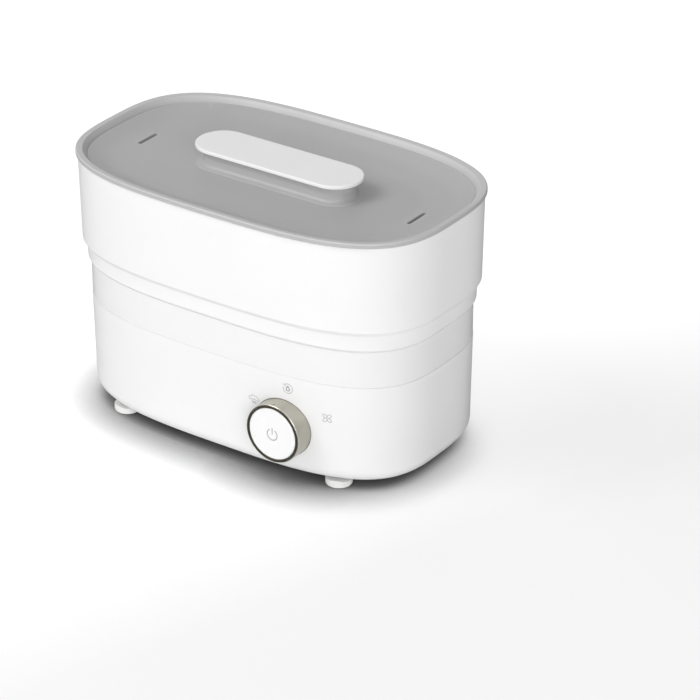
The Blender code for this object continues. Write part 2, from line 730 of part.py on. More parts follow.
def fan_housing(base):
    """A blower case: a drum with an outlet going up, an eye at the back and a foot below."""
    spout_top = FAN_Z + FAN_RADIUS + 0.3
    left, right = DUCT_X - DUCT_WIDTH / 2, DUCT_X + DUCT_WIDTH / 2
    drum = cylinder(FAN_RADIUS, FAN_FRONT_Y, FAN_REAR_Y, FAN_CENTRE, "Y", 28)
    piece = solid("fan_housing", drum, "black_plastic", base, (FAN_X, FAN_FRONT_Y, FAN_Z))
    join(piece, block((left, FAN_FRONT_Y + PAST, FAN_Z), (right, FAN_REAR_Y - PAST, spout_top)))
    foot_low = (FAN_X - FAN_FOOT_HALF, FAN_FRONT_Y + 2, FAN_FOOT_Z)
    join(piece, block(foot_low, (FAN_X + FAN_FOOT_HALF, FAN_REAR_Y - 2, FAN_Z - FAN_RADIUS + 6)))
    inner_front, inner_rear = FAN_FRONT_Y + FAN_WALL, FAN_REAR_Y - FAN_WALL
    cut(piece, cylinder(FAN_RADIUS - FAN_WALL, inner_front, inner_rear, FAN_CENTRE, "Y", 28))
    low = (left + FAN_WALL, inner_front + PAST, FAN_Z)
    cut(piece, block(low, (right - FAN_WALL, inner_rear - PAST, spout_top + PAST)))
    cut(piece, cylinder(FAN_EYE_RADIUS, inner_rear - PAST, FAN_REAR_Y + PAST, FAN_CENTRE, "Y"))
    shaft_hole = FAN_SHAFT_RADIUS + PAST
    cut(piece, cylinder(shaft_hole, FAN_FRONT_Y - PAST, inner_front + PAST, FAN_CENTRE, "Y", 12))


def fan_impeller(fan):
    """A back disc with straight blades round it."""
    front, disc_rear, blade_rear = FAN_FRONT_Y + 5, FAN_FRONT_Y + 7, FAN_REAR_Y - 4
    disc = cylinder(BLADE_TIP, front, disc_rear, FAN_CENTRE, "Y", 28)
    edge = BLADE_TIP - 0.5
    corner_turns = ((BLADE_ROOT, -2), (edge, -1), (edge, 1), (BLADE_ROOT, 2))
    piece = solid("fan_impeller", disc, "white_satin", fan, (FAN_X, front, FAN_Z))
    loops = []
    for y in (disc_rear - 0.5, blade_rear):
        loop = []
        for blade in range(BLADES):
            for radius, side in corner_turns:
                turn = math.tau * blade / BLADES + math.radians(side * BLADE_HALF_TURN)
                x, z = FAN_X + radius * math.cos(turn), FAN_Z + radius * math.sin(turn)
                loop.append(Vector((x, y, z)))
        loops.append(loop)
    join(piece, skin(loops))
    bore = FAN_SHAFT_RADIUS + GAP
    cut(piece, cylinder(bore, front - PAST, blade_rear + PAST, FAN_CENTRE, "Y", 12))


def fan_shaft(fan):
    """The motor's shaft, from inside the motor to the impeller's end."""
    mesh = cylinder(FAN_SHAFT_RADIUS, FAN_FRONT_Y - 9, FAN_REAR_Y - 8, FAN_CENTRE, "Y", 12)
    solid("fan_shaft", mesh, "steel", fan, (FAN_X, FAN_FRONT_Y, FAN_Z))


def fan_motor(base):
    """A round motor in front of the blower case."""
    bore, outer, rear = FAN_SHAFT_RADIUS + GAP, 13.0, FAN_FRONT_Y - GAP
    front = rear - 14.0
    profile = [(bore, front), (outer - 1, front), (outer, front + 1), (outer, rear), (bore, rear)]
    mesh = turned(profile, FAN_CENTRE, "Y", ring=True)
    solid("fan_motor", mesh, "steel", base, (FAN_X, rear, FAN_Z))


def air_duct(base):
    """A square pipe from the blower up into the basin's chimney."""
    low, high = FAN_Z + FAN_RADIUS + 2 * GAP, CHIMNEY_TOP_Z - 2
    outer = [(DUCT_WIDTH, DUCT_DEPTH, height) for height in (low, high)]
    inner = [(DUCT_WIDTH - 2 * DUCT_WALL, DUCT_DEPTH - 2 * DUCT_WALL, height) for height in (high, low)]
    loops = [rectangle(DUCT_X, DUCT_Y, *size) for size in outer + inner]
    solid("air_duct", skin(loops, ring=True), "black_plastic", base, (DUCT_X, DUCT_Y, low))


def air_heater(base):
    """A finned heater block inside the duct."""
    half_x, half_y, low, high = 8.0, 8.4, 70.0, 88.0
    fins, fin_step, groove = 5, 3.2, 1.6
    mesh = block((DUCT_X - half_x, DUCT_Y - half_y, low), (DUCT_X + half_x, DUCT_Y + half_y, high))
    piece = solid("air_heater", mesh, "steel", base, (DUCT_X, DUCT_Y, low))
    grooves = []
    for fin in range(fins):
        x = DUCT_X + (fin - (fins - 1) / 2) * fin_step
        corner = (x - groove / 2, DUCT_Y - half_y - PAST, low - PAST)
        grooves.append(block(corner, (x + groove / 2, DUCT_Y - 3, high + PAST)))
    cut(piece, merged(grooves))


def air_outlet_cap(base):
    """A lid over the chimney with a row of openings on each long side."""
    low, high, wall = CHIMNEY_TOP_Z + GAP, 105.5, 1.6
    half_x, half_y = DUCT_WIDTH / 2 + 2 * CHIMNEY_WALL, DUCT_DEPTH / 2 + 2 * CHIMNEY_WALL
    mesh = block((DUCT_X - half_x, DUCT_Y - half_y, low), (DUCT_X + half_x, DUCT_Y + half_y, high))
    piece = solid("air_outlet_cap", mesh, "white_satin", base, (DUCT_X, DUCT_Y, low))
    inner_low = (DUCT_X - half_x + wall, DUCT_Y - half_y + wall, low - PAST)
    cut(piece, block(inner_low, (DUCT_X + half_x - wall, DUCT_Y + half_y - wall, high - wall)))
    openings = []
    for side in (-1, 0, 1):
        x = DUCT_X + 7 * side
        corner = (x - 2, DUCT_Y - half_y - PAST, low + 1)
        openings.append(block(corner, (x + 2, DUCT_Y + half_y + PAST, high - 2.5)))
    cut(piece, merged(openings))


def filter_cover(door):
    """The louvred door in the rear wall, cut from the wall's own curve."""
    slope = (BASE_INSET_LOW - BASE_INSET_TOP) / (SEAM_Z - BOTTOM_Z - BOTTOM_RADIUS)
    low_z, high_z = DOOR_Z - DOOR_HEIGHT / 2 - 3, DOOR_Z + DOOR_HEIGHT / 2 + 3
    low_inset = BASE_INSET_TOP + slope * (SEAM_Z - low_z)
    high_inset = BASE_INSET_TOP + slope * (SEAM_Z - high_z)
    thick = BASE_WALL - 0.2
    profile = [
        (low_inset, low_z),
        (high_inset, high_z),
        (high_inset + thick, high_z),
        (low_inset + thick, low_z),
    ]
    mesh = shell(profile, ring=True)
    piece = solid("filter_cover", mesh, "white_gloss", door, (DOOR_X, HALF_DEPTH - 10, DOOR_Z))
    combine(piece, door_block(GAP + 0.1), "INTERSECT")
    louvres = []
    for number in range(LOUVRES):
        z = DOOR_Z + (number - (LOUVRES - 1) / 2) * LOUVRE_STEP
        low = (DOOR_X - LOUVRE_HALF_WIDTH, DOOR_BLOCK_Y, z - LOUVRE_HALF_HEIGHT)
        louvres.append(block(low, (DOOR_X + LOUVRE_HALF_WIDTH, HALF_DEPTH, z + LOUVRE_HALF_HEIGHT)))
    cut(piece, merged(louvres))


def air_filter(door):
    """A flat felt pad behind the door."""
    margin, front, rear = 2.0, 61.0, 71.5
    low = (DOOR_X - DOOR_WIDTH / 2 + margin, front, DOOR_Z - DOOR_HEIGHT / 2 + margin)
    high = (DOOR_X + DOOR_WIDTH / 2 - margin, rear, DOOR_Z + DOOR_HEIGHT / 2 - margin)
    solid("air_filter", block(low, high), "filter_felt", door, (DOOR_X, front, DOOR_Z))


# Cord and wiring.


def way_out(start_y, end_z):
    """The cord's way out of the wall and down, as (y, z, turn): level at 0, straight down at 90."""
    bend_y, bend_z = CORD_DROP_Y - CORD_BEND, CORD_Z - CORD_BEND
    steps = 6
    way = [(start_y, CORD_Z, 0)]
    for step in range(steps + 1):
        turn = 90 * step / steps
        y = bend_y + CORD_BEND * math.sin(math.radians(turn))
        way.append((y, bend_z + CORD_BEND * math.cos(math.radians(turn)), turn))
    return [*way, (CORD_DROP_Y, end_z, 90)]


def elbow(radius, start_y, end_z, count=12):
    """A round rod along the cord's way out."""
    loops = []
    for y, z, turn in way_out(start_y, end_z):
        lean, rise = math.sin(math.radians(turn)), math.cos(math.radians(turn))
        ring = arc((0, 0), radius, 0, 360 - 360 / count, count - 1)
        loops.append([Vector((CORD_X + across, y + up * lean, z + up * rise)) for across, up in ring])
    return skin(loops)


def strain_relief(base):
    """A flanged boot that leads the cord through the rear wall and down."""
    wall_y = HALF_DEPTH - BASE_INSET_LOW
    flange_y = wall_y + 0.4
    mesh = elbow(BOOT_RADIUS, wall_y - 4, BOOT_LOW_Z)
    piece = solid("strain_relief", mesh, "white_satin", base, (CORD_X, wall_y, CORD_Z))
    profile = [(BOOT_FLANGE, flange_y), (BOOT_FLANGE, flange_y + 1.2), (BOOT_FLANGE - 0.6, flange_y + 1.8)]
    join(piece, turned(profile, (CORD_X, 0, CORD_Z), "Y", count=20))
    cut(piece, elbow(CORD_RADIUS + GAP, wall_y - 6, BOOT_LOW_Z - 2))


def cord_path():
    """From inside the base, down the boot, left, right and left again, and up into the plug."""
    points = [(CORD_X, y, z) for y, z, _ in way_out(68, BOOT_LOW_Z)]
    steps, drop = 6, BOOT_LOW_Z - RUN_HIGH_Z
    for step in range(1, steps + 1):
        turn, shift = math.radians(90 * step / steps), step / steps
        x, z = CORD_X - drop + drop * math.cos(turn), BOOT_LOW_Z - drop * math.sin(turn)
        points.append((x, CORD_DROP_Y + (RUN_OUTER_Y - CORD_DROP_Y) * shift, z))
    fold = (RUN_HIGH_Z - RUN_LOW_Z) / 2
    left = arc((RUN_LEFT, RUN_LOW_Z + fold), fold, 90, 270, steps)
    points += [(x, RUN_OUTER_Y, z) for x, z in left]
    fold = (RUN_OUTER_Y - RUN_INNER_Y) / 2
    right = arc((RUN_RIGHT, RUN_INNER_Y + fold), fold, 90, -90, steps)
    points += [(x, y, RUN_LOW_Z) for x, y in right]
    points.append((PLUG_X + 14, RUN_INNER_Y, RUN_LOW_Z))
    points.append((PLUG_X + 8, (RUN_INNER_Y + PLUG_Y) / 2, (RUN_LOW_Z + PLUG_Z) / 2))
    return [*points, (PLUG_X + 3, PLUG_Y, PLUG_Z), (PLUG_X, PLUG_Y, PLUG_Z)]


def cord_tie(base):
    """A flat band round the three runs of the folded cord."""
    inside = CORD_RADIUS + TIE_SLACK
    bends = [
        ((RUN_OUTER_Y, RUN_LOW_Z), -90, 0),
        ((RUN_OUTER_Y, RUN_HIGH_Z), 0, 135),
        ((RUN_INNER_Y, RUN_LOW_Z), 135, 270),
    ]
    outside = inside + TIE_THICKNESS
    loops = []
    for side, radius in ((-1, inside), (-1, outside), (1, outside), (1, inside)):
        x = TIE_X + side * TIE_HALF_WIDTH
        line = [point for centre, start, end in bends for point in arc(centre, radius, start, end, 4)]
        loops.append([Vector((x, y, z)) for y, z in line])
    solid("cord_tie", skin(loops, ring=True), "black_plastic", base, (TIE_X, RUN_OUTER_Y, RUN_LOW_Z))


def plug(base):
    """A flat two-pin plug lying on the table at the cord's end."""
    start = PLUG_X - GAP
    sections = [(0, 5.5, 5.5), (8, 6.5, 6.0), (16, 11.6, 6.6), (34, 12.0, 6.8), (36, 11.4, 6.2)]
    steps, power = 16, 4
    loops = []
    for along, half_y, half_z in sections:
        loop = []
        for step in range(steps):
            across, up = math.cos(math.tau * step / steps), math.sin(math.tau * step / steps)
            size = (abs(across) ** power + abs(up) ** power) ** (-1 / power)
            y, z = PLUG_Y + half_y * across * size, PLUG_Z + half_z * up * size
            loop.append(Vector((start - along, y, z)))
        loops.append(loop)
    solid("plug_body", skin(loops), "white_satin", base, (start, PLUG_Y, PLUG_Z))
    face = start - sections[-1][0] - GAP
    profile = [(PIN_RADIUS, face), (PIN_RADIUS, face - PIN_LENGTH + 1.5), (1.2, face - PIN_LENGTH)]
    for name, side in (("plug_pin_left", -1), ("plug_pin_right", 1)):
        y = PLUG_Y + side * PIN_OFFSET
        mesh = turned(profile, (0, y, PLUG_Z), "X", count=10)
        solid(name, mesh, "brass", base, (face, y, PLUG_Z))


def leads(base):
    """The two pairs of wires inside the base, each drawn as one sheathed cable."""
    points = [(-65, -4, 17), (-65, -4, 30), (-67, -8, 44), (-70, -13.8, 56), (-70, -13.8, 61.5)]
    tube("heater_lead", points, 1.5, "soft_grey", base)
    points = [(-50, 10, 17), (-42, 14, 24), (-10, 20, 27), (20, 24, 30), (30, 26, 34), (34.2, 27, 36)]
    tube("fan_lead", points, 1.3, "soft_grey", base)


# Basket, rack and lid.


def basket(basket_frame):
    """The steam chamber: an open-bottomed tub that stands on the tray, with a ledge for the rack."""
    bottom = TRAY_TOP_Z + GAP
    locate_low = bottom - 4.7
    locate = BAND_INSET + BASE_WALL + 0.4
    ledge_inset = 22.0
    wall = BASKET_WALL
    profile = [
        (ledge_inset, bottom),
        (locate + wall, bottom),
        (locate + wall, locate_low),
        (locate + 0.4, locate_low),
        (locate, bottom),
        (BAND_INSET, bottom),
        (BAND_INSET - 0.6, bottom + 1.2),
        (FOOT_BAND_INSET, STEP_LOW_Z),
        (FOOT_BAND_INSET - 0.2, STEP_HIGH_Z),
        (FOOT_BAND_INSET - 1.5, STEP_HIGH_Z + 3),
        (WALL_INSET_LOW + 0.3, WALL_LOW_Z - 1.6),
        (WALL_INSET_LOW, WALL_LOW_Z),
        (WALL_INSET_TOP, BASKET_TOP_Z),
        (WALL_INSET_TOP + wall, BASKET_TOP_Z),
        (WALL_INSET_LOW + wall, WALL_LOW_Z),
        (FOOT_BAND_INSET + wall, STEP_HIGH_Z),
        (FOOT_BAND_INSET + wall + 0.4, bottom + wall),
        (ledge_inset, bottom + wall),
    ]
    mesh = shell(profile, ring=True)
    solid("basket", mesh, "white_gloss", basket_frame, (0, 0, bottom))


def rack_plate(rack):
    """The loose bottom plate: slots for steam and short pegs that keep bottles upright."""
    low = TRAY_TOP_Z + BASKET_WALL + 2 * GAP
    high = low + RACK_THICKNESS
    inset = FOOT_BAND_INSET + BASKET_WALL + 1.4
    piece = solid("rack_plate", shell([(inset, low), (inset, high)]), "white_satin", rack, (0, 0, low))
    slots = []
    for x, y in grid(RACK_COLUMNS, RACK_ROWS, RACK_STEP_X, RACK_STEP_Y):
        corner = (x - RACK_SLOT_HALF_LENGTH, y - RACK_SLOT_HALF_WIDTH, low - PAST)
        other = (x + RACK_SLOT_HALF_LENGTH, y + RACK_SLOT_HALF_WIDTH, high + PAST)
        slots.append(block(corner, other))
    cut(piece, merged(slots))
    top = high + PEG_HEIGHT
    profile = [(3.0, high - PAST), (2.4, top - 1), (1.4, top)]
    places = grid(RACK_COLUMNS // 2 + 1, RACK_ROWS // 2, 2 * RACK_STEP_X, 2 * RACK_STEP_Y)
    join(piece, merged([turned(profile, (x, y, 0), count=8) for x, y in places]))


def lid_shell(lid):
    """The lid: a raised rim, a slope inside it and a shallow dished panel with a hollow neck."""
    seat = BASKET_TOP_Z + GAP
    nest = WALL_INSET_TOP + BASKET_WALL + 0.4
    slope_inset, slope_z = 8.4, 191.7
    top = [
        (1.6, LID_TOP_Z),
        (3.4, LID_TOP_Z - 0.5),
        (slope_inset, slope_z),
        (10.5, PANEL_Z + 2.6),
        (17.0, PANEL_Z + 1.0),
        (32.0, PANEL_Z),
    ]
    under = [(inset, height - LID_WALL) for inset, height in reversed(top[3:])]
    edge = [
        (nest + 2.0, slope_z + 1.2),
        (nest + 2.0, seat - 8),
        (nest + 0.3, seat - 8),
        (nest, seat),
        (0.2, seat),
        (0.0, seat + 0.6),
        (0.0, LID_TOP_Z - 1.4),
        (0.6, LID_TOP_Z - 0.3),
    ]
    piece = solid("lid_shell", shell(under + edge + top), "lid_grey", lid, (0, 0, seat))
    neck = [(NECK_HALF_LENGTH, NECK_HALF_WIDTH, height) for height in (PANEL_Z - 1, NECK_TOP_Z)]
    join(piece, skin([stadium(*size) for size in neck]))
    wall = 2.5
    hollow = (NECK_HALF_LENGTH - wall, NECK_HALF_WIDTH - wall)
    roof = NECK_TOP_Z - LID_WALL
    cut(piece, skin([stadium(*hollow, height) for height in (PANEL_Z - LID_WALL - PAST, roof)]))
    radius = HANDLE_PEG_RADIUS + GAP
    holes = [cylinder(radius, roof - PAST, NECK_TOP_Z + PAST, at, count=10) for at in peg_places()]
    cut(piece, merged(holes))
    half_width, half_length, reach = SLOT_WIDTH / 2, SLOT_LENGTH / 2, 5.0
    slots = []
    for x in (-SLOT_X, SLOT_X):
        low = (x - half_width, -half_length, PANEL_Z - reach)
        slots.append(block(low, (x + half_width, half_length, PANEL_Z + reach)))
    cut(piece, merged(slots))


def peg_places():
    return [(-HANDLE_PEG_X, 0, 0), (HANDLE_PEG_X, 0, 0)]


def handle_cap(lid):
    """The flat grip on the neck, with two pegs through the neck's roof."""
    under, edge = NECK_TOP_Z + GAP, 0.8
    narrow = (HANDLE_HALF_LENGTH - edge, HANDLE_HALF_WIDTH - edge)
    full = (HANDLE_HALF_LENGTH, HANDLE_HALF_WIDTH)
    levels = [(narrow, under), (full, under + edge), (full, HANDLE_TOP_Z - edge), (narrow, HANDLE_TOP_Z)]
    mesh = skin([stadium(*half_sizes, height) for half_sizes, height in levels])
    piece = solid("handle_cap", mesh, "handle_white", lid, (0, 0, under))
    low, radius, bore = under - HANDLE_PEG_LENGTH, HANDLE_PEG_RADIUS, 1.5
    join(piece, merged([cylinder(radius, low, under + PAST, at, count=10) for at in peg_places()]))
    cut(piece, merged([cylinder(bore, low - PAST, under - PAST, at, count=10) for at in peg_places()]))


def handle_screws(lid):
    """Screws from below into the cap's pegs."""
    peg_end = NECK_TOP_Z + GAP - HANDLE_PEG_LENGTH
    head, shank, head_low, head_top = 3.2, 1.2, peg_end - 2.4, peg_end - GAP
    profile = [
        (head - 0.6, head_low),
        (head, head_low + 0.5),
        (head, head_top),
        (shank, head_top),
        (shank, peg_end + 4.5),
    ]
    for name, at in zip(("handle_screw_left", "handle_screw_right"), peg_places()):
        solid(name, turned(profile, at, count=10), "steel", lid, (at[0], at[1], peg_end))


def build():
    clear_scene()
    base = frame("base_frame")
    for make in (
        base_shell,
        bottom_cover,
        cover_screws,
        feet,
        water_tray,
        heating_plate,
        plate_gasket,
        plate_retainer,
        plate_nuts,
        heating_element,
        thermostat,
        thermal_fuse,
        power_board,
        board_parts,
        control_board,
        mode_switch,
        power_switch,
        fan_housing,
        fan_motor,
        air_duct,
        air_heater,
        air_outlet_cap,
        strain_relief,
        cord_tie,
        plug,
        leads,
    ):
        make(base)
    tube("power_cord", cord_path(), CORD_RADIUS, "white_satin", base)

    knob = frame("knob_axis", (KNOB_X, KNOB_FRONT_Y, KNOB_Z))
    knob_ring(knob)
    knob_trim(knob)
    knob_carrier(knob)

    button = frame("button_axis", (KNOB_X, KNOB_FRONT_Y, KNOB_Z))
    power_button_cap(button)
    button_stem(button)

    fan = frame("fan_axis", (FAN_X, FAN_FRONT_Y, FAN_Z))
    fan_impeller(fan)
    fan_shaft(fan)

    door = frame("filter_door_frame", (DOOR_X, HALF_DEPTH, DOOR_Z))
    filter_cover(door)
    air_filter(door)

    basket_frame = frame("basket_frame", (0, 0, TRAY_TOP_Z))
    basket(basket_frame)
    rack = frame("rack_frame", (0, 0, TRAY_TOP_Z))
    rack_plate(rack)
    lid = frame("lid_frame", (0, 0, BASKET_TOP_Z))
    lid_shell(lid)
    handle_cap(lid)
    handle_screws(lid)


build()
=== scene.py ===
import math

import bmesh
import bpy
from mathutils import Matrix, Vector


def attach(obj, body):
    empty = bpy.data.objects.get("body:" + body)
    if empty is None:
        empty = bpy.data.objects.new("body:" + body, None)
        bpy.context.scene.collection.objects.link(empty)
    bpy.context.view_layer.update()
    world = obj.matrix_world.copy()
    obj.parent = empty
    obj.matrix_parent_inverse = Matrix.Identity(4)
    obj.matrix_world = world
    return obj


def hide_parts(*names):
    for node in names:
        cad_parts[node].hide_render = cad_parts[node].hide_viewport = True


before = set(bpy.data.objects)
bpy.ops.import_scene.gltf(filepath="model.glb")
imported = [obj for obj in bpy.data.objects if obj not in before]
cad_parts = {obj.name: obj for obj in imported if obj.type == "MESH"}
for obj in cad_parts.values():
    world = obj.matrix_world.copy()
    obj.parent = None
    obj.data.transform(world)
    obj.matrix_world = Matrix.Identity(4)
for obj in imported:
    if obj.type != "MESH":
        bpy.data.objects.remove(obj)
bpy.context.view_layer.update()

# Sizes are millimetres, and UNIT turns them into metres. +Z is up and the front faces -Y.
UNIT = 0.001
GAP = 0.3
UP = (0.0, 0.0, 1.0)
FRONT_AXIS = Matrix.Rotation(math.radians(-90), 3, "X")
SIDE_AXIS = Matrix.Rotation(math.radians(90), 3, "Y")

OUTLINE_POINTS = 224
ROUND_POINTS = 96
FINE_ROUND = 160
ARC_STEP = math.radians(15)

# The lid's edge in plan, a superellipse. A shell's point is (inset from that edge, height).
HALF_LENGTH, HALF_DEPTH, POWER = 150.0, 89.7, 3.2

# Heights. The base's wall leans inwards by 1 mm over WALL_RISE, down from WALL_INSET at WALL_TOP.
BASE_LOW, BASE_TOP = 5.0, 83.2
WALL_INSET, WALL_TOP, WALL_RISE = 7.4, 83.0, 66.0
TRAY_LOW, TRAY_TOP = 83.3, 111.1
BASKET_LOW, BASKET_TOP = 111.2, 193.9
RACK_LOW, RACK_TOP = 113.7, 115.7
LID_LOW, LID_TOP = 194.2, 197.9
PANEL_UNDER, PANEL_Z = 185.5, 187.5
NECK_TOP, HANDLE_LOW, HANDLE_TOP = 200.2, 200.5, 203.1

KNOB_X, KNOB_Z, KNOB_FRONT_Y = 59.0, 41.7, -92.8
KNOB_REAR_Y, WELL_Y, WELL_RADIUS = -74.4, -74.0, 22.6
KNOB_FRONT_RADIUS, KNOB_REAR_RADIUS, KNOB_BORE = 22.0, 22.4, 19.9
BUTTON_FRONT_Y, BUTTON_RADIUS = -92.3, 19.65
PLATE_X, PLATE_Z, STUD_REACH = -35.0, 78.7, 46.5
FOOT_X, FOOT_Y, FOOT_RADIUS = 94.4, 61.6, 9.7
SCREW_X, SCREW_Y, SCREW_BORE = 87.8, 39.2, 1.7
POST_X, POST_Y = (-94.0, -46.0), (-22.0, 22.0)
DUCT_X, DUCT_Y, DUCT_HALF_X, DUCT_HALF_Y = 64.0, 46.5, 13.0, 13.5
OUTLET_LOW, OUTLET_TOP = 98.3, 105.5
DOOR_X, DOOR_Z, DOOR_WIDTH, DOOR_HEIGHT, DOOR_INNER_Y = 48.0, 42.0, 68.0, 44.0, 64.0
SLOT_X = 116.9
HANDLE = (68.9, 20.0)
NECK = (63.5, 15.0)
PEG_X, PEG_LENGTH = 40.0, 6.5
CORD_RADIUS, CORD_BEND = 3.0, 6.0
CORD_X, CORD_Z, CORD_DROP_Y, CORD_DROP_Z = 2.0, 34.0, 87.1, 20.0
RUN_LEFT, RUN_RIGHT, TIE_X = -66.0, -16.0, -41.0
RUN_INNER_Y, RUN_OUTER_Y, RUN_LOW_Z, RUN_HIGH_Z = 80.9, 88.9, 4.0, 12.0
PLUG_X, PLUG_Y, PLUG_Z, PLUG_LENGTH, PIN_REACH = -90.0, 80.6, 7.1, 36.0, 8.7

# The signs on the front: where each stands, and how wide its lines are.
STEAM_SIGN, CYCLE_SIGN, FAN_SIGN = (35.8, 58.2), (64.0, 73.8), (93.4, 57.0)
STROKE, BOLD_STROKE = 0.42, 0.85

LOOKS = {
    "housing": dict(colour=(0.87, 0.87, 0.873), roughness=0.34, coat=0.15, tint=0.012, depth=0.004),
    "band": dict(colour=(0.86, 0.86, 0.861), roughness=0.22, coat=0.3, tint=0.012, depth=0.002),
    "basket": dict(colour=(0.885, 0.885, 0.885), roughness=0.33, coat=0.2, tint=0.012, depth=0.003),
    "inner": dict(colour=(0.84, 0.84, 0.83), roughness=0.45, depth=0.008),
    # The lid's rim colour is a painted highlight, laid on the rim's upward faces.
    "lid": dict(colour=(0.475, 0.475, 0.475), roughness=0.42, depth=0.004, edge=0.12, rim_highlight=(0.57, 0.57, 0.57)),
    "handle": dict(colour=(0.93, 0.93, 0.93), roughness=0.40, tint=0.015, depth=0.004, edge=0.25),
    "champagne": dict(
        colour=(0.545, 0.525, 0.46), roughness=0.34, metallic=1.0, tint=0.05, grain=900.0, depth=0.006),
    # The knob's paler front edge is a painted highlight, and its front ring's dark colour a painted
    # reflection.
    "edge_highlight": dict(colour=(0.70, 0.68, 0.61), roughness=0.24, metallic=0.9, tint=0.05, depth=0.002),
    "dark_reflection_ring": dict(
        colour=(0.085, 0.075, 0.055), roughness=0.34, metallic=0.6, tint=0.2, depth=0.003, edge=0.6),
    "button": dict(colour=(0.90, 0.90, 0.90), roughness=0.34, coat=0.3, tint=0.01, depth=0.002),
    "print": dict(colour=(0.42, 0.42, 0.42), roughness=0.5, tint=0.08, depth=0.002),
    "print_dark": dict(colour=(0.30, 0.30, 0.30), roughness=0.5, tint=0.08, depth=0.002),
    "foot": dict(colour=(0.80, 0.80, 0.79), roughness=0.55, tint=0.05, grain=900.0),
    "seal": dict(colour=(0.30, 0.30, 0.30), roughness=0.7, tint=0.1, grain=900.0),
    "steel": dict(
        colour=(0.62, 0.61, 0.59), roughness=0.33, metallic=1.0, tint=0.08, grain=500.0, depth=0.01,
        brushed=(1, 14, 1)),
    "fins": dict(
        colour=(0.66, 0.66, 0.66), roughness=0.4, metallic=1.0, tint=0.1, grain=700.0, depth=0.01,
        brushed=(1, 1, 9)),
    "brass": dict(
        colour=(0.66, 0.50, 0.24), roughness=0.34, metallic=1.0, tint=0.12, grain=700.0, depth=0.008,
        edge=0.2),
    "dark": dict(colour=(0.035, 0.035, 0.037), roughness=0.48, tint=0.3, grain=900.0, edge=0.8),
    "board": dict(colour=(0.03, 0.16, 0.07), roughness=0.42, tint=0.3, grain=600.0, depth=0.01, edge=0.5),
    "cord": dict(colour=(0.84, 0.84, 0.83), roughness=0.5, grain=800.0, depth=0.01),
    "wire": dict(colour=(0.30, 0.30, 0.30), roughness=0.6, tint=0.1, grain=900.0, depth=0.01),
    "felt": dict(colour=(0.68, 0.70, 0.70), roughness=0.95, tint=0.2, grain=420.0, depth=0.25),
}
# For every finish: the fineness of its clouds and of its patches of gloss, how far the noise really
# swings, how much the roughness varies, how sharp an edge looks worn, and the coat's roughness.
CLOUD_SCALE, GLOSS_SCALE, NOISE_REACH = 22.0, 160.0, (0.3, 0.7)
GLOSS_SHARES, WORN_SHARPNESS, COAT_ROUGHNESS = (0.88, 1.12), (0.52, 0.60), 0.12
# The lid rim's painted highlight fades in between two heights, as its faces turn up, and outside an ellipse.
RIM_HIGHLIGHT_FADE, RIM_HIGHLIGHT_FACING = (192.5, 196.0), (0.15, 0.4)
NECK_CLEARING, NECK_FADE = (100.0, 40.0), (1.0, 1.2)
# The colour sockets of a Mix node.
COLOUR_A, COLOUR_B, COLOUR_OUT = 6, 7, 2

# The CAD pieces that are shown as they are, and the finish of each.
CARRIED = {
    "heating_element": "steel", "thermostat": "dark", "thermal_fuse": "brass", "power_board": "board",
    "board_relay": "dark", "board_transformer": "brass", "board_capacitor": "dark", "control_board": "board",
    "mode_switch": "dark", "power_switch": "dark", "fan_housing": "dark", "fan_motor": "steel",
    "fan_shaft": "steel", "fan_impeller": "inner", "air_duct": "dark", "air_heater": "fins",
    "heater_lead": "wire", "fan_lead": "wire",
}

# The stage, in metres. A light is (name, place, width, watts, whether mirrors show it).
CAMERA_TARGET = Vector((0.06096, 0.0, 0.0685))
CAMERA_AZIMUTH, CAMERA_ELEVATION, CAMERA_DISTANCE, CAMERA_LENS = 34.81, 27.84, 2.386, 172.0
LIGHT_TARGET = Vector((0, 0, 0.08))
LIGHTS = (
    ("key", (-1.00, -1.42, 2.00), 1.5, 24.0, True),
    ("fill", (1.75, -1.75, 0.88), 1.8, 29.5, True),
    ("back", (-1.40, 2.00, 0.95), 1.8, 14.0, False),
)
STUDIO_SIDE, STUDIO_REACH, STUDIO_STRENGTH = (-0.60, -0.60, 0.50), (-0.85, 0.85), (0.08, 0.565)
FLOOR_HALF, FLOOR_BOUNCE, MIRRORED_SHARE = 12.0, 0.95, 0.4
SHADOW_REACH, SHADOW_LEAN, SHADOW_SAMPLES = 0.05, (0.05, 0.38, 0.92), 16
# The floor's painted shadow: it gets paler and glows more where it is more open; its glow also fades
# to the right, as painted shade.
SHADOW_COLOUR_OPENNESS, PAINTED_SHADOW_COLOUR, GLOW_OPENNESS = (0.0, 0.85), (0.06, 0.45), (0.27, 0.85)
GLOW_SIDE, GLOW_REACH, GLOW_STRENGTH = (0.393, -0.14, 0.0), (-0.02, 0.09), (0.76, 0.53)


# Outlines and profiles.


def rounded(profile, closed=False):
    """Points given as (a, b, radius), each replaced by an arc that is tangent to both its sides."""
    points = []
    count = len(profile)
    for place, (a, b, radius) in enumerate(profile):
        if radius == 0 or (not closed and place in (0, count - 1)):
            points.append((a, b))
            continue
        here = Vector((a, b))
        back = Vector(profile[place - 1][:2]) - here
        ahead = Vector(profile[(place + 1) % count][:2]) - here
        half = back.angle(ahead) / 2
        reach = min(radius / math.tan(half), 0.49 * back.length, 0.49 * ahead.length)
        size = reach * math.tan(half)
        middle = here + (back.normalized() + ahead.normalized()).normalized() * (size / math.sin(half))
        first = here + back.normalized() * reach - middle
        last = here + ahead.normalized() * reach - middle
        start = math.atan2(first.y, first.x)
        sweep = (math.atan2(last.y, last.x) - start + math.pi) % math.tau - math.pi
        steps = max(2, math.ceil(abs(sweep) / ARC_STEP))
        for step in range(steps + 1):
            turn = start + sweep * step / steps
            points.append((middle.x + size * math.cos(turn), middle.y + size * math.sin(turn)))
    return points


def turns(count):
    """Evenly spaced angles round a full turn."""
    return [math.tau * step / count for step in range(count)]


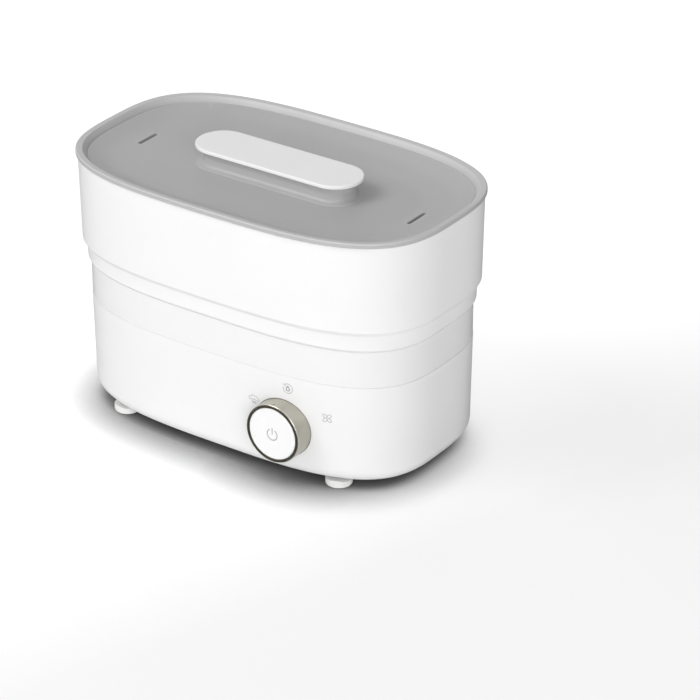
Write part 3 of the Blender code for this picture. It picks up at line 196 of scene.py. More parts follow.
def superellipse(half_x, half_y, power, turn):
    """A point on a rounded oblong about the origin, as (x, y)."""
    along, across = math.cos(turn), math.sin(turn)
    size = (abs(along) ** power + abs(across) ** power) ** (-1 / power)
    return half_x * along * size, half_y * across * size


def outline(inset, height):
    """The lid's edge drawn in by a distance, at a height."""
    size = HALF_LENGTH - inset, HALF_DEPTH - inset
    return [Vector((*superellipse(*size, POWER, turn), height)) for turn in turns(OUTLINE_POINTS)]


def stadium(half_length, half_width, height, steps=24):
    points = []
    for end in (1, -1):
        for step in range(steps + 1):
            turn = math.pi * (step / steps - 0.5)
            x = end * (half_length - half_width + half_width * math.cos(turn))
            points.append(Vector((x, end * half_width * math.sin(turn), height)))
    return points


def round_rectangle(x, y, half_x, half_y, radius, height=0.0, steps=6):
    points = []
    for quarter, (side_x, side_y) in enumerate(((1, 1), (-1, 1), (-1, -1), (1, -1))):
        for step in range(steps + 1):
            turn = math.pi / 2 * (quarter + step / steps)
            point_x = x + side_x * (half_x - radius) + radius * math.cos(turn)
            point_y = y + side_y * (half_y - radius) + radius * math.sin(turn)
            points.append(Vector((point_x, point_y, height)))
    return points


def upright(flat, y):
    """An outline drawn in x and y, stood up so that it faces front at a depth."""
    return [Vector((point.x, y, point.y)) for point in flat]


def arc(centre, radius, start, end, steps):
    angles = [math.radians(start + (end - start) * step / steps) for step in range(steps + 1)]
    return [(centre[0] + radius * math.cos(turn), centre[1] + radius * math.sin(turn)) for turn in angles]


def shifted(path, centre):
    return [(centre[0] + x, centre[1] + z) for x, z in path]


def wall_inset(height):
    """How far in from the lid's edge the base's leaning wall is."""
    return WALL_INSET + (WALL_TOP - height) / WALL_RISE


def four_corners(x, y):
    return (("front_left", -x, -y), ("front_right", x, -y), ("rear_left", -x, y), ("rear_right", x, y))


# Meshes.


def skin(loops, ring=False):
    """A closed body over a list of loops, capped at both ends or joined end to end as a ring."""
    count, rows = len(loops[0]), len(loops)
    faces = []
    for row in range(rows if ring else rows - 1):
        low, high = row * count, (row + 1) % rows * count
        for place in range(count):
            following = (place + 1) % count
            faces.append((low + place, low + following, high + following, high + place))
    if not ring:
        faces.append(tuple(range(count)))
        faces.append(tuple(range((rows - 1) * count, rows * count)))
    data = bpy.data.meshes.new("skin")
    data.from_pydata([point * UNIT for loop in loops for point in loop], [], faces)
    mesh = bmesh.new()
    mesh.from_mesh(data)
    bmesh.ops.recalc_face_normals(mesh, faces=mesh.faces)
    mesh.to_mesh(data)
    mesh.free()
    return data


def shell(profile, ring=False):
    """A body that follows the lid's outline, from (inset, height, fillet) points."""
    return skin([outline(inset, height) for inset, height in rounded(profile, ring)], ring)


def turned(profile, centre, axis=None, ring=False, count=ROUND_POINTS):
    """A body of revolution from (radius, along, fillet) points; its axis is Z, or what the matrix says."""
    loops = []
    for radius, along in rounded(profile, ring):
        loop = []
        for turn in turns(count):
            point = Vector((radius * math.cos(turn), radius * math.sin(turn), along))
            loop.append((axis @ point if axis else point) + Vector(centre))
        loops.append(loop)
    return skin(loops, ring)


def rod(radius, low, high, centre, axis=None, count=ROUND_POINTS):
    """A plain cylinder."""
    return turned([(radius, low, 0), (radius, high, 0)], centre, axis, count=count)


def block(low, high):
    x0, y0, z0 = low
    x1, y1, z1 = high
    return skin([[Vector((x, y, z)) for x, y in ((x0, y0), (x1, y0), (x1, y1), (x0, y1))] for z in (z0, z1)])


def merged(meshes):
    """Several separate bodies in one mesh."""
    whole = bmesh.new()
    for data in meshes:
        whole.from_mesh(data)
        bpy.data.meshes.remove(data)
    made = bpy.data.meshes.new("group")
    whole.to_mesh(made)
    whole.free()
    return made


def combine(data, other, operation="DIFFERENCE"):
    """Cuts one mesh from another, joins it on, or keeps what they share."""
    body = bpy.data.objects.new("body", data)
    tool = bpy.data.objects.new("tool", other)
    for each in (body, tool):
        bpy.context.scene.collection.objects.link(each)
    change = body.modifiers.new("change", "BOOLEAN")
    change.operation = operation
    change.solver = "EXACT"
    change.object = tool
    graph = bpy.context.evaluated_depsgraph_get()
    made = bpy.data.meshes.new_from_object(body.evaluated_get(graph))
    for each in (body, tool):
        bpy.data.objects.remove(each)
    bpy.data.meshes.remove(data)
    bpy.data.meshes.remove(other)
    return made


def cross_cut(screw, x, y, reach, low, high):
    """A screw with a cross cut into its head."""
    slit = 0.35
    for half_x, half_y in ((reach, slit), (slit, reach)):
        screw = combine(screw, block((x - half_x, y - half_y, low), (x + half_x, y + half_y, high)))
    return screw


def pipe(points, radius, count=20):
    """A round rod along a line of points, with its ends eased."""
    line = [Vector(point) for point in points]
    last = len(line) - 1
    ways = [(line[min(at + 1, last)] - line[max(at - 1, 0)]).normalized() for at in range(last + 1)]
    side = ways[0].orthogonal().normalized()
    rims = []
    for point, way in zip(line, ways):
        side = (side - way * side.dot(way)).normalized()
        rims.append((point, way, side, radius))
    ease = min(0.6, radius * 0.3)
    tip, way, side, _ = rims[0]
    rims[:1] = [(tip, way, side, radius - ease), (tip + way * ease, way, side, radius)]
    tip, way, side, _ = rims[-1]
    rims[-1:] = [(tip - way * ease, way, side, radius), (tip, way, side, radius - ease)]
    loops = []
    for point, way, side, size in rims:
        up = way.cross(side)
        reaches = [(size * math.cos(turn), size * math.sin(turn)) for turn in turns(count)]
        loops.append([point + side * across + up * rise for across, rise in reaches])
    return skin(loops)


# Shader nodes. Inputs are given by name or number, as plain values or as other nodes' outputs.


def feed(tree, node, inputs):
    for name, value in inputs.items():
        if isinstance(value, bpy.types.NodeSocket):
            tree.links.new(value, node.inputs[name])
        else:
            node.inputs[name].default_value = value


def add_node(tree, kind, inputs=None, **settings):
    made = tree.nodes.new("ShaderNode" + kind)
    for name, value in settings.items():
        setattr(made, name, value)
    feed(tree, made, inputs or {})
    return made


def graded(tree, value, source, target):
    """A value taken from one range to another, and held at its ends."""
    inputs = dict(zip(("Value", "From Min", "From Max", "To Min", "To Max"), (value, *source, *target)))
    return add_node(tree, "MapRange", inputs).outputs["Result"]


def times(tree, first, second):
    return add_node(tree, "Math", {0: first, 1: second}, operation="MULTIPLY").outputs["Value"]


def dot(tree, vector, way):
    """How far a vector reaches along a fixed one."""
    return add_node(tree, "VectorMath", {0: vector, 1: way}, operation="DOT_PRODUCT").outputs["Value"]


def mixed_numbers(tree, share, first, second):
    return add_node(tree, "Mix", {"Factor": share, "A": first, "B": second}).outputs["Result"]


def mixed_colours(tree, share, first, second):
    first, second = ((*value, 1.0) if isinstance(value, tuple) else value for value in (first, second))
    inputs = {"Factor": share, COLOUR_A: first, COLOUR_B: second}
    return add_node(tree, "Mix", inputs, data_type="RGBA").outputs[COLOUR_OUT]


def mixed_shaders(tree, share, first, second):
    return add_node(tree, "MixShader", {"Fac": share, 1: first, 2: second}).outputs["Shader"]


def noise(tree, scale, detail, vector):
    inputs = {"Scale": scale, "Detail": detail, "Vector": vector}
    return add_node(tree, "TexNoise", inputs).outputs["Fac"]


# Finishes.


def rim_highlight_share(tree, place):
    """1 on the upward faces of the lid's rim, where its painted highlight goes, and 0 below it, on its sides
    and on the handle's neck.
    """
    heights = tuple(height * UNIT for height in RIM_HIGHLIGHT_FADE)
    high_up = graded(tree, dot(tree, place, UP), heights, (0.0, 1.0))
    shrink = (*(1 / (size * UNIT) for size in NECK_CLEARING), 0.0)
    shrunk = add_node(tree, "VectorMath", {0: place, 1: shrink}, operation="MULTIPLY").outputs["Vector"]
    away = add_node(tree, "VectorMath", {0: shrunk}, operation="LENGTH").outputs["Value"]
    outside = graded(tree, away, NECK_FADE, (0.0, 1.0))
    facing = dot(tree, add_node(tree, "TexCoord").outputs["Normal"], UP)
    return times(tree, times(tree, high_up, outside), graded(tree, facing, RIM_HIGHLIGHT_FACING, (0.0, 1.0)))


def finish(
    name, colour, roughness, metallic=0.0, tint=0.03, grain=1400.0, depth=0.02, coat=0.0, edge=0.0,
    brushed=None, rim_highlight=None,
):
    """A Principled material with cloudy colour, uneven gloss, a fine bump and paler worn edges.

    tint is how much darker the clouds are, grain and depth the bump's fineness and height, edge how
    much paler worn edges are, brushed how the bump is stretched, and the last argument the colour of the
    painted highlight on the lid's rim."""
    made = bpy.data.materials.new(name)
    made.use_nodes = True
    tree = made.node_tree
    place = add_node(tree, "TexCoord").outputs["Object"]
    clouds = graded(tree, noise(tree, CLOUD_SCALE, 3.0, place), NOISE_REACH, (0.0, 1.0))
    base = mixed_colours(tree, clouds, colour, tuple(part * (1 - tint) for part in colour))
    # A painted highlight: the lid's rim is paler on its upward faces.
    if rim_highlight:
        base = mixed_colours(tree, rim_highlight_share(tree, place), base, rim_highlight)
    if edge:
        paler = tuple(min(1.0, part * (1 + edge) + edge * 0.05) for part in colour)
        sharpness = add_node(tree, "NewGeometry").outputs["Pointiness"]
        base = mixed_colours(tree, graded(tree, sharpness, WORN_SHARPNESS, (0.0, 1.0)), base, paler)
    gloss = tuple(roughness * share for share in GLOSS_SHARES)
    grained = place
    if brushed:
        grained = add_node(tree, "Mapping", {"Scale": brushed, "Vector": place}).outputs["Vector"]
    height = noise(tree, grain, 2.0, grained)
    bump = add_node(tree, "Bump", {"Strength": 1.0, "Distance": depth * UNIT, "Height": height})
    feed(tree, tree.nodes["Principled BSDF"], {
        "Base Color": base,
        "Metallic": metallic,
        "Roughness": graded(tree, noise(tree, GLOSS_SCALE, 2.0, place), NOISE_REACH, gloss),
        "Normal": bump.outputs["Normal"],
        "Coat Weight": coat,
        "Coat Roughness": COAT_ROUGHNESS,
    })
    return made


# Placing pieces.


def show(name, data, look, body, slot, *nodes, sharp=38):
    """Puts a piece in the scene on its body, in place of the CAD nodes it stands for."""
    data.name = name
    data.materials.clear()
    data.materials.append(FINISHES[look])
    data.shade_smooth()
    data.set_sharp_from_angle(angle=math.radians(sharp))
    piece = bpy.data.objects.new(name, data)
    bpy.context.scene.collection.objects.link(piece)
    normals = piece.modifiers.new("normals", "WEIGHTED_NORMAL")
    normals.keep_sharp = True
    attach(piece, body)
    if nodes:
        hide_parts(*nodes)
    return piece


# Base.


def door_block(clearance, radius=3.0):
    """A bar with rounded corners through the rear wall, where the filter door sits."""
    half_x, half_z = DOOR_WIDTH / 2 - clearance, DOOR_HEIGHT / 2 - clearance
    flat = round_rectangle(DOOR_X, DOOR_Z, half_x, half_z, radius)
    return skin([upright(flat, y) for y in (DOOR_INNER_Y, HALF_DEPTH)])


def make_base():
    centre = (KNOB_X, 0.0, KNOB_Z)
    floor_z, ledge = 7.5, 33.5
    wall = [
        (36.0, BASE_LOW, 0.4), (wall_inset(BASE_LOW), BASE_LOW, 12.0), (WALL_INSET, BASE_TOP, 0.07),
        (9.9, BASE_TOP, 0.2), (10.9, floor_z, 7.5), (ledge, floor_z, 0.5), (ledge, 10.3, 0.4),
        (46.0, 10.3, 0.4), (46.0, 7.8, 0.3), (36.0, 7.8, 0.3),
    ]
    data = shell(wall, ring=True)
    well_wall = rod(WELL_RADIUS + 2, -HALF_DEPTH, WELL_Y + 2, centre, FRONT_AXIS)
    inside = shell([(9.4, 7.0, 0), (9.4, 81.0, 0)])
    data = combine(data, combine(well_wall, inside, "INTERSECT"), "UNION")
    data = combine(data, rod(WELL_RADIUS, -HALF_DEPTH - 6, WELL_Y, centre, FRONT_AXIS))
    data = combine(data, rod(8.4, WELL_Y - 1, WELL_Y + 3, centre, FRONT_AXIS))
    data = combine(data, door_block(0.0))
    data = combine(data, rod(5.1, DOOR_INNER_Y, HALF_DEPTH, (CORD_X, 0.0, CORD_Z), FRONT_AXIS))
    show("base_housing", data, "housing", "base", "housing_white", "base_shell")
    sleeve = [(4.0, 9.3, 0), (4.0, 22.0, 0.5), (SCREW_BORE, 22.0, 0), (SCREW_BORE, 9.3, 0)]
    places = [(x, y, 0) for _, x, y in four_corners(SCREW_X, SCREW_Y)]
    bosses = merged([turned(sleeve, at, ring=True, count=32) for at in places])
    show("screw_bosses", bosses, "housing", "base", "housing_white")


def make_bottom():
    """The cover under the base, with sunk screw holes and the power board's posts."""
    inset, floor_z = 36.3, 7.5
    cover = shell([(80.0, BASE_LOW, 0), (inset, BASE_LOW, 0.4), (inset, floor_z, 0.3), (80.0, floor_z, 0)])
    places = [(x, y, 0) for _, x, y in four_corners(SCREW_X, SCREW_Y)]
    cover = combine(cover, merged([rod(3.9, BASE_LOW - 1, 6.3, at, count=40) for at in places]))
    cover = combine(cover, merged([rod(SCREW_BORE, BASE_LOW - 1, 9.0, at, count=32) for at in places]))
    post = [(3.0, 6.5, 0), (3.0, 12.7, 0.4), (0.6, 12.7, 0)]
    posts = merged([turned(post, (x, y, 0), count=32) for x in POST_X for y in POST_Y])
    show("bottom_hatch", combine(cover, posts, "UNION"), "inner", "base", "inner_white", "bottom_cover")
    profile = [
        (0.9, 4.8, 0), (3.6, 4.8, 0.7), (3.6, 6.0, 0.2), (1.4, 6.0, 0), (1.4, 17.0, 0.6), (0.5, 18.0, 0),
    ]
    for name, x, y in four_corners(SCREW_X, SCREW_Y):
        screw = cross_cut(turned(profile, (x, y, 0), count=48), x, y, 2.0, 4.0, 5.5)
        show("screw_" + name, screw, "steel", "base", "stainless", "cover_screw_" + name)


def make_feet():
    profile = [(6.0, 0.4, 0), (6.4, 0.0, 0.2), (FOOT_RADIUS, 0.0, 1.4), (FOOT_RADIUS, 12.0, 0)]
    housing = [(20.4, BASE_LOW - GAP, 0), (8.1, BASE_LOW - GAP, 12.3), (7.1, BASE_TOP - 0.2, 0)]
    for name, x, y in four_corners(FOOT_X, FOOT_Y):
        foot = combine(turned(profile, (x, y, 0)), shell(housing))
        show("pad_" + name, foot, "foot", "base", "foot_rubber", "foot_" + name)


def duct_loop(inset, height, radius):
    return round_rectangle(DUCT_X, DUCT_Y, DUCT_HALF_X - inset, DUCT_HALF_Y - inset, radius, height)


def make_tray():
    """The band above the base with the water basin in it, and the hot air's chimney through the basin."""
    under, basin = 74.0, 76.5
    profile = [
        (60.0, under, 0), (22.0, under, 1), (13.9, 75.0, 2.5), (10.4, 79.0, 2.0), (10.2, TRAY_LOW, 0.2),
        (7.6, TRAY_LOW, 0.07), (7.5, TRAY_TOP, 0.1), (10.1, TRAY_TOP, 0.5), (12.4, 82.5, 5.0),
        (21.0, basin + 1, 4.0), (24.0, basin, 1.5), (26.0, basin, 0), (60.0, basin, 0),
    ]
    data = combine(shell(profile), rod(50.0, under - 2, basin + 1.5, (PLATE_X, 0, 0)))
    top = OUTLET_LOW - GAP
    chimney = [duct_loop(0.0, under + 1, 2.0), duct_loop(0.0, top - 0.4, 2.0), duct_loop(0.3, top, 1.8)]
    data = combine(data, skin(chimney), "UNION")
    data = combine(data, skin([duct_loop(1.5, height, 1.0) for height in (under - 2, top + 1)]))
    show("water_basin", data, "band", "base", "housing_white", "water_tray")


def make_plate():
    """The heating plate with its three studs, the seal over its edge, and the ring and nuts under it."""
    centre = (PLATE_X, 0, 0)
    low, face, bead = PLATE_Z, PLATE_Z + 1.0, PLATE_Z + 1.25
    edge = low + 1.5
    dish = [(10.0, low, 0), (56.9, low, 0.3), (57.0, edge, 0.5), (51.0, edge, 1.0), (47.5, face, 1.0)]
    for outer in (30.5, 16.5):
        dish += [
            (outer, face, 0.4), (outer - 0.3, bead, 0.3), (outer - 1.3, bead, 0.3), (outer - 1.6, face, 0.4),
        ]
    data = turned([*dish, (10.0, face, 0)], centre, count=FINE_ROUND)
    places = [(PLATE_X + STUD_REACH * math.cos(turn), STUD_REACH * math.sin(turn), 0) for turn in turns(3)]
    stud = [(1.4, 67.0, 0), (2.0, 67.6, 0.3), (2.0, low + 0.5, 0)]
    data = combine(data, merged([turned(stud, at, count=32) for at in places]), "UNION")
    show("hot_plate", data, "steel", "base", "stainless", "heating_plate")
    gasket = [(49.2, 76.8, 0.3), (56.0, 76.8, 0.6), (56.0, 78.4, 0.6), (49.2, 78.4, 0.3)]
    seal = turned(gasket, centre, ring=True, count=128)
    show("plate_seal", seal, "seal", "base", "seal_rubber", "plate_gasket")
    clamp = [(42.0, 71.9, 0.3), (57.0, 71.9, 0.4), (57.0, 73.7, 0.4), (42.0, 73.7, 0.3)]
    ring = turned(clamp, centre, ring=True, count=128)
    ring = combine(ring, merged([rod(2.3, 71.0, 74.5, at, count=32) for at in places]))
    show("retainer_ring", ring, "steel", "base", "stainless", "plate_retainer")
    hexagon = [(2.3, 68.4, 0.2), (4.2, 68.4, 0.5), (4.2, 71.6, 0.5), (2.3, 71.6, 0.2)]
    for number, at in enumerate(places, 1):
        nut = turned(hexagon, at, ring=True, count=6)
        show(f"stud_nut_{number}", nut, "steel", "base", "stainless", f"plate_nut_{number}", sharp=20)


def make_outlet():
    """The cap over the hot-air chimney, with rounded slots front and back."""
    body = [duct_loop(0.0, height, 2.0) for height in (OUTLET_LOW, OUTLET_TOP - 1.2)]
    for drop, step in ((0.5, 0.25), (0.15, 0.65), (0.0, 1.2)):
        body.append(duct_loop(step, OUTLET_TOP - drop, 2.0 - step * 0.6))
    hollow = [duct_loop(1.6, height, 1.2) for height in (OUTLET_LOW - 1, OUTLET_TOP - 1.6)]
    data = combine(skin(body), skin(hollow))
    slots = []
    for side in (-1, 0, 1):
        flat = round_rectangle(DUCT_X + 7 * side, OUTLET_LOW + 2.9, 2.0, 1.8, 1.2)
        slots.append(skin([upright(flat, y) for y in (DUCT_Y - 16, DUCT_Y + 16)]))
    data = combine(data, merged(slots))
    show("outlet_grille", data, "inner", "base", "inner_white", "air_outlet_cap")


# Filter door.


def make_door():
    """The louvred door, cut from a shell that lies in the base's wall, and the felt behind it."""
    thickness, margin = 2.3, 3
    low_z, high_z = DOOR_Z - DOOR_HEIGHT / 2 - margin, DOOR_Z + DOOR_HEIGHT / 2 + margin
    low_inset, high_inset = wall_inset(low_z), wall_inset(high_z)
    wall = [
        (low_inset, low_z, 0), (high_inset, high_z, 0), (high_inset + thickness, high_z, 0),
        (low_inset + thickness, low_z, 0),
    ]
    data = combine(shell(wall, ring=True), door_block(0.4, 2.6), "INTERSECT")
    slots, pitch, count = [], 5.6, 6
    for number in range(count):
        centre = Vector((DOOR_X, DOOR_Z + (number - (count - 1) / 2) * pitch, 0))
        flat = [point + centre for point in stadium(26.0, 1.4, 0, steps=8)]
        slots.append(skin([upright(flat, y) for y in (DOOR_INNER_Y, HALF_DEPTH)]))
    data = combine(data, merged(slots))
    show("louvre_door", data, "housing", "filter_door", "housing_white", "filter_cover")
    felt = []
    for inset, y in ((0.6, 61.0), (0.0, 61.6), (0.0, 70.9), (0.6, 71.5)):
        felt.append(upright(round_rectangle(DOOR_X, DOOR_Z, 32.0 - inset, 20.0 - inset, 2.0), y))
    show("felt_pad", skin(felt), "felt", "filter_door", "filter_felt", "air_filter")


# Cord.


def way_out(start_y, end_z, steps=14):
    """The cord's way out of the wall and down."""
    bend = arc((CORD_DROP_Y - CORD_BEND, CORD_Z - CORD_BEND), CORD_BEND, 90, 0, steps)
    return [(CORD_X, y, z) for y, z in ((start_y, CORD_Z), *bend, (CORD_DROP_Y, end_z))]


def cord_points(steps=14):
    """The cord's line: out of the wall, down, and in three runs along the back to the plug."""
    points = way_out(68.0, CORD_DROP_Z)
    drop = CORD_DROP_Z - RUN_HIGH_Z
    for step in range(1, steps + 1):
        turn, share = math.radians(90 * step / steps), step / steps
        x, z = CORD_X - drop + drop * math.cos(turn), CORD_DROP_Z - drop * math.sin(turn)
        points.append((x, CORD_DROP_Y + (RUN_OUTER_Y - CORD_DROP_Y) * share, z))
    fold = (RUN_HIGH_Z - RUN_LOW_Z) / 2
    points += [(x, RUN_OUTER_Y, z) for x, z in arc((RUN_LEFT, RUN_LOW_Z + fold), fold, 90, 270, steps)]
    fold = (RUN_OUTER_Y - RUN_INNER_Y) / 2
    points += [(x, y, RUN_LOW_Z) for x, y in arc((RUN_RIGHT, RUN_INNER_Y + fold), fold, 90, -90, steps)]
    for step in range(steps + 1):
        share = step / steps
        ease = share * share * (3 - 2 * share)
        y, z = RUN_INNER_Y + (PLUG_Y - RUN_INNER_Y) * ease, RUN_LOW_Z + (PLUG_Z - RUN_LOW_Z) * ease
        points.append((PLUG_X + 18 * (1 - share), y, z))
    return points


def make_boot():
    """The grooved sleeve where the cord leaves the wall."""
    wall_y = HALF_DEPTH - 8.4
    boot = pipe(way_out(wall_y - 4, CORD_DROP_Z), 4.8, 32)
    flange = [
        (2.0, wall_y + 0.4, 0), (7.5, wall_y + 0.4, 0.3), (7.5, wall_y + 2.2, 0.9), (2.0, wall_y + 2.2, 0),
    ]
    boot = combine(boot, turned(flange, (CORD_X, 0, CORD_Z), FRONT_AXIS), "UNION")
    half_groove = 0.45
    for height in (27.0, 24.8, 22.6):
        low, high = height - half_groove, height + half_groove
        groove = [(4.3, low, 0.2), (6.0, low, 0), (6.0, high, 0), (4.3, high, 0.2)]
        boot = combine(boot, turned(groove, (CORD_X, CORD_DROP_Y, 0), ring=True, count=48))
    boot = combine(boot, pipe(way_out(wall_y - 6, CORD_DROP_Z - 2), CORD_RADIUS + GAP, 24))
    show("cord_boot", boot, "cord", "base", "cord_white", "strain_relief")


def make_tie():
    """The band round the cord's three runs."""
    bends = [
        ((RUN_OUTER_Y, RUN_LOW_Z), -90, 0), ((RUN_OUTER_Y, RUN_HIGH_Z), 0, 135),
        ((RUN_INNER_Y, RUN_LOW_Z), 135, 270),
    ]
    loops = []
    for side, radius in ((-5.0, 3.3), (-5.0, 3.75), (-4.85, 3.9), (4.85, 3.9), (5.0, 3.75), (5.0, 3.3)):
        line = [point for centre, start, end in bends for point in arc(centre, radius, start, end, 12)]
        loops.append([Vector((TIE_X + side, y, z)) for y, z in line])
    show("bundle_tie", skin(loops, ring=True), "dark", "base", "dark_plastic", "cord_tie")


def make_cord():
    show("mains_cord", pipe(cord_points(), CORD_RADIUS, 24), "cord", "base", "cord_white", "power_cord")
    make_boot()
    make_tie()


def make_plug():
    """The plug, which swells from the cord's width, and its two round pins."""
    start = PLUG_X - GAP
    sections = [
        (0.0, 4.9, 4.9), (0.25, 5.3, 5.3), (0.8, 5.5, 5.5), (5.0, 5.7, 5.65), (8.0, 6.3, 5.9),
        (10.5, 7.6, 6.1), (13.0, 9.4, 6.3), (15.0, 10.8, 6.5), (17.0, 11.5, 6.6), (20.0, 11.8, 6.65),
        (34.0, 12.0, 6.8), (35.2, 11.85, 6.65), (35.8, 11.5, 6.3), (PLUG_LENGTH, 11.0, 5.8),
    ]
    loops = []
    for reach, half_y, half_z in sections:
        loop = [superellipse(half_y, half_z, 4, turn) for turn in turns(64)]
        loops.append([Vector((start - reach, PLUG_Y + y, PLUG_Z + z)) for y, z in loop])
    show("plug_shell", skin(loops), "cord", "base", "cord_white", "plug_body")
    face = start - PLUG_LENGTH - GAP
    profile = [(1.0, face, 0), (2.0, face, 0.2), (2.0, face - 17.5, 0.9), (0.5, face - 18.5, 0)]
    for name, side in (("left", -1), ("right", 1)):
        pin = turned(profile, (0, PLUG_Y + PIN_REACH * side, PLUG_Z), SIDE_AXIS, count=40)
        show("pin_" + name, pin, "brass", "base", "contact_brass", "plug_pin_" + name)


# Knob and button.


def show_turned(name, profile, look, body, slot, *nodes, count=FINE_ROUND, ring=True):
    """A piece turned about the knob's axis."""
    data = turned(profile, (KNOB_X, 0, KNOB_Z), FRONT_AXIS, ring=ring, count=count)
    show(name, data, look, body, slot, *nodes)


def make_knob():
    """The metal ring with its notch and a painted highlight on its front edge, the ring in front painted
    dark as a reflection, and the disc behind.
    """
    bore, front, outer = KNOB_BORE, KNOB_FRONT_Y + 0.8, KNOB_FRONT_RADIUS
    ring = [
        (bore, front, 0), (outer, front, 0.35), (KNOB_REAR_RADIUS, KNOB_REAR_Y, 0.3), (bore, KNOB_REAR_Y, 0),
    ]
    data = turned(ring, (KNOB_X, 0, KNOB_Z), FRONT_AXIS, ring=True, count=FINE_ROUND)
    top, half_notch = KNOB_Z + outer, 0.6
    notch = block((KNOB_X - half_notch, front - 1, top - 0.7), (KNOB_X + half_notch, front + 3, top + 1))
    show("grip_ring", combine(data, notch), "champagne", "knob", "knob_champagne", "knob_ring")
    # A paler strip on the ring's front edge: a painted highlight.
    glint = [
        (outer - 0.6, front + 0.3, 0), (outer - 0.3, front - 0.05, 0.1), (outer + 0.08, front + 0.25, 0.2),
        (outer + 0.1, front + 0.9, 0), (outer - 0.6, front + 0.9, 0),
    ]
    show_turned("grip_edge_highlight", glint, "edge_highlight", "knob", "knob_champagne")
    # The ring in front is painted dark, standing in for a dark reflection in its polished face.
    edge = outer - 0.3
    tip = KNOB_FRONT_Y
    trim = [
        (bore, tip + 0.25, 0.1), (bore + 0.3, tip, 0.15), (edge - 0.1, tip, 0.3), (edge, front - GAP, 0),
        (bore, front - GAP, 0),
    ]
    show_turned("dark_reflection_trim", trim, "dark_reflection_ring", "knob", "knob_dark", "knob_trim")
    disc, back, hub_end = bore - GAP, -76.6, -67.0
    carrier = [
        (6.0, back, 0.2), (disc, back, 0.3), (disc, KNOB_REAR_Y, 0.3), (8.0, KNOB_REAR_Y, 0.4),
        (8.0, hub_end, 0.3), (6.0, hub_end, 0.2),
    ]
    show_turned(
        "ring_carrier", carrier, "inner", "knob", "inner_white", "knob_carrier", count=ROUND_POINTS)


def make_button():
    """The push button's cap, with a fine groove near its edge, and its stem."""
    front, outer = BUTTON_FRONT_Y, BUTTON_RADIUS
    groove, skirt, bore, face = front + 0.25, front + 8, 17.6, front + 2.5
    cap = [
        (4.0, front, 0), (18.15, front, 0.05), (18.3, groove, 0.05), (18.6, groove, 0.05),
        (18.75, front, 0.05), (outer, front, 0.6), (outer, skirt, 0.2), (bore, skirt, 0.2),
        (bore, face, 0.3), (4.0, face, 0),
    ]
    show_turned("button_face", cap, "button", "power_button", "button_white", "power_button_cap", ring=False)
    stem = [
        (1.0, -89.5, 0), (3.0, -89.5, 0.3), (3.0, -74.0, 0.2), (5.6, -74.0, 0.3), (5.6, -72.5, 0.3),
        (3.0, -72.5, 0.2), (3.0, -71.5, 0.4), (1.0, -71.5, 0),
    ]
    show_turned(
        "button_rod", stem, "inner", "power_button", "inner_white", "button_stem", count=48, ring=False)


# Printed signs: thin raised strips that follow the surface they lie on.


def on_wall(x, z, out):
    """A point over the front wall at (x, z), out by a distance."""
    inset = wall_inset(z)
    share = (abs(x) / (HALF_LENGTH - inset)) ** POWER
    return Vector((x, -(HALF_DEPTH - inset) * (1 - share) ** (1 / POWER) - out, z))


def on_button(x, z, out):
    return Vector((x, BUTTON_FRONT_Y - out, z))


def strip(path, width, surface, closed=False, depth=0.12, height=0.04):
    """A thin band along a path of (x, z) points."""
    fine = []
    for (x0, z0), (x1, z1) in zip(path, path[1:] + path[:1] if closed else path[1:]):
        steps = max(1, math.ceil(math.hypot(x1 - x0, z1 - z0) / 0.3))
        fine += [(x0 + (x1 - x0) * k / steps, z0 + (z1 - z0) * k / steps) for k in range(steps)]
    if not closed:
        fine.append(path[-1])
    loops = []
    last = len(fine) - 1
    for place, (x, z) in enumerate(fine):
        before = fine[place - 1] if closed or place else fine[place]
        after = fine[(place + 1) % (last + 1)] if closed or place < last else fine[place]
        way = Vector((after[0] - before[0], after[1] - before[1])).normalized()
        across = Vector((-way.y, way.x)) * width / 2
        left, right = (x + across.x, z + across.y), (x - across.x, z - across.y)
        points = ((left, height), (right, height), (right, -depth), (left, -depth))
        loops.append([surface(*point, out) for point, out in points])
    return skin(loops, ring=closed)


def cloud_path():
    """The outline of four lobes on a flat base, as far out as they reach in each direction."""
    lobes = ((-2.9, -0.3, 1.35), (-0.8, 0.6, 1.7), (1.3, 0.35, 1.55), (2.95, -0.45, 1.2))
    path = []
    for turn in turns(72):
        way = Vector((math.cos(turn), math.sin(turn)))
        reach = 0.0
        for x, z, radius in lobes:
            middle = way.x * x + way.y * z
            inside = middle * middle - (x * x + z * z - radius * radius)
            if inside > 0:
                reach = max(reach, middle + math.sqrt(inside))
        path.append((way.x * reach, max(way.y * reach, -1.5)))
    return path


def sign_steam():
    parts = [strip(shifted(cloud_path(), STEAM_SIGN), STROKE, on_wall, closed=True)]
    for drop in (-2.7, -3.8):
        wave = [(x / 4 - 1.9, drop + 0.35 * math.sin(x / 4 * math.pi * 1.1)) for x in range(16)]
        parts.append(strip(shifted(wave, STEAM_SIGN), STROKE, on_wall))
    return merged(parts)


def sign_cycle():
    """A circle that ends in an arrow's head."""
    tip = (-1.9, 3.1)
    lines = [arc((0, 0), 3.7, 128, -190, 60), [(-3.9, 2.6), tip], [tip, (-2.3, 1.2)]]
    return merged([strip(shifted(line, CYCLE_SIGN), STROKE, on_wall) for line in lines])


def sign_drop():
    half = [(0.0, 2.0), (-0.8, 0.7), (-1.3, -0.2), (-1.2, -1.1), (-0.6, -1.7), (0.0, -1.85)]
    drop = half + [(-x, z) for x, z in reversed(half[1:-1])]
    return strip(shifted(drop, CYCLE_SIGN), 0.7, on_wall, closed=True)


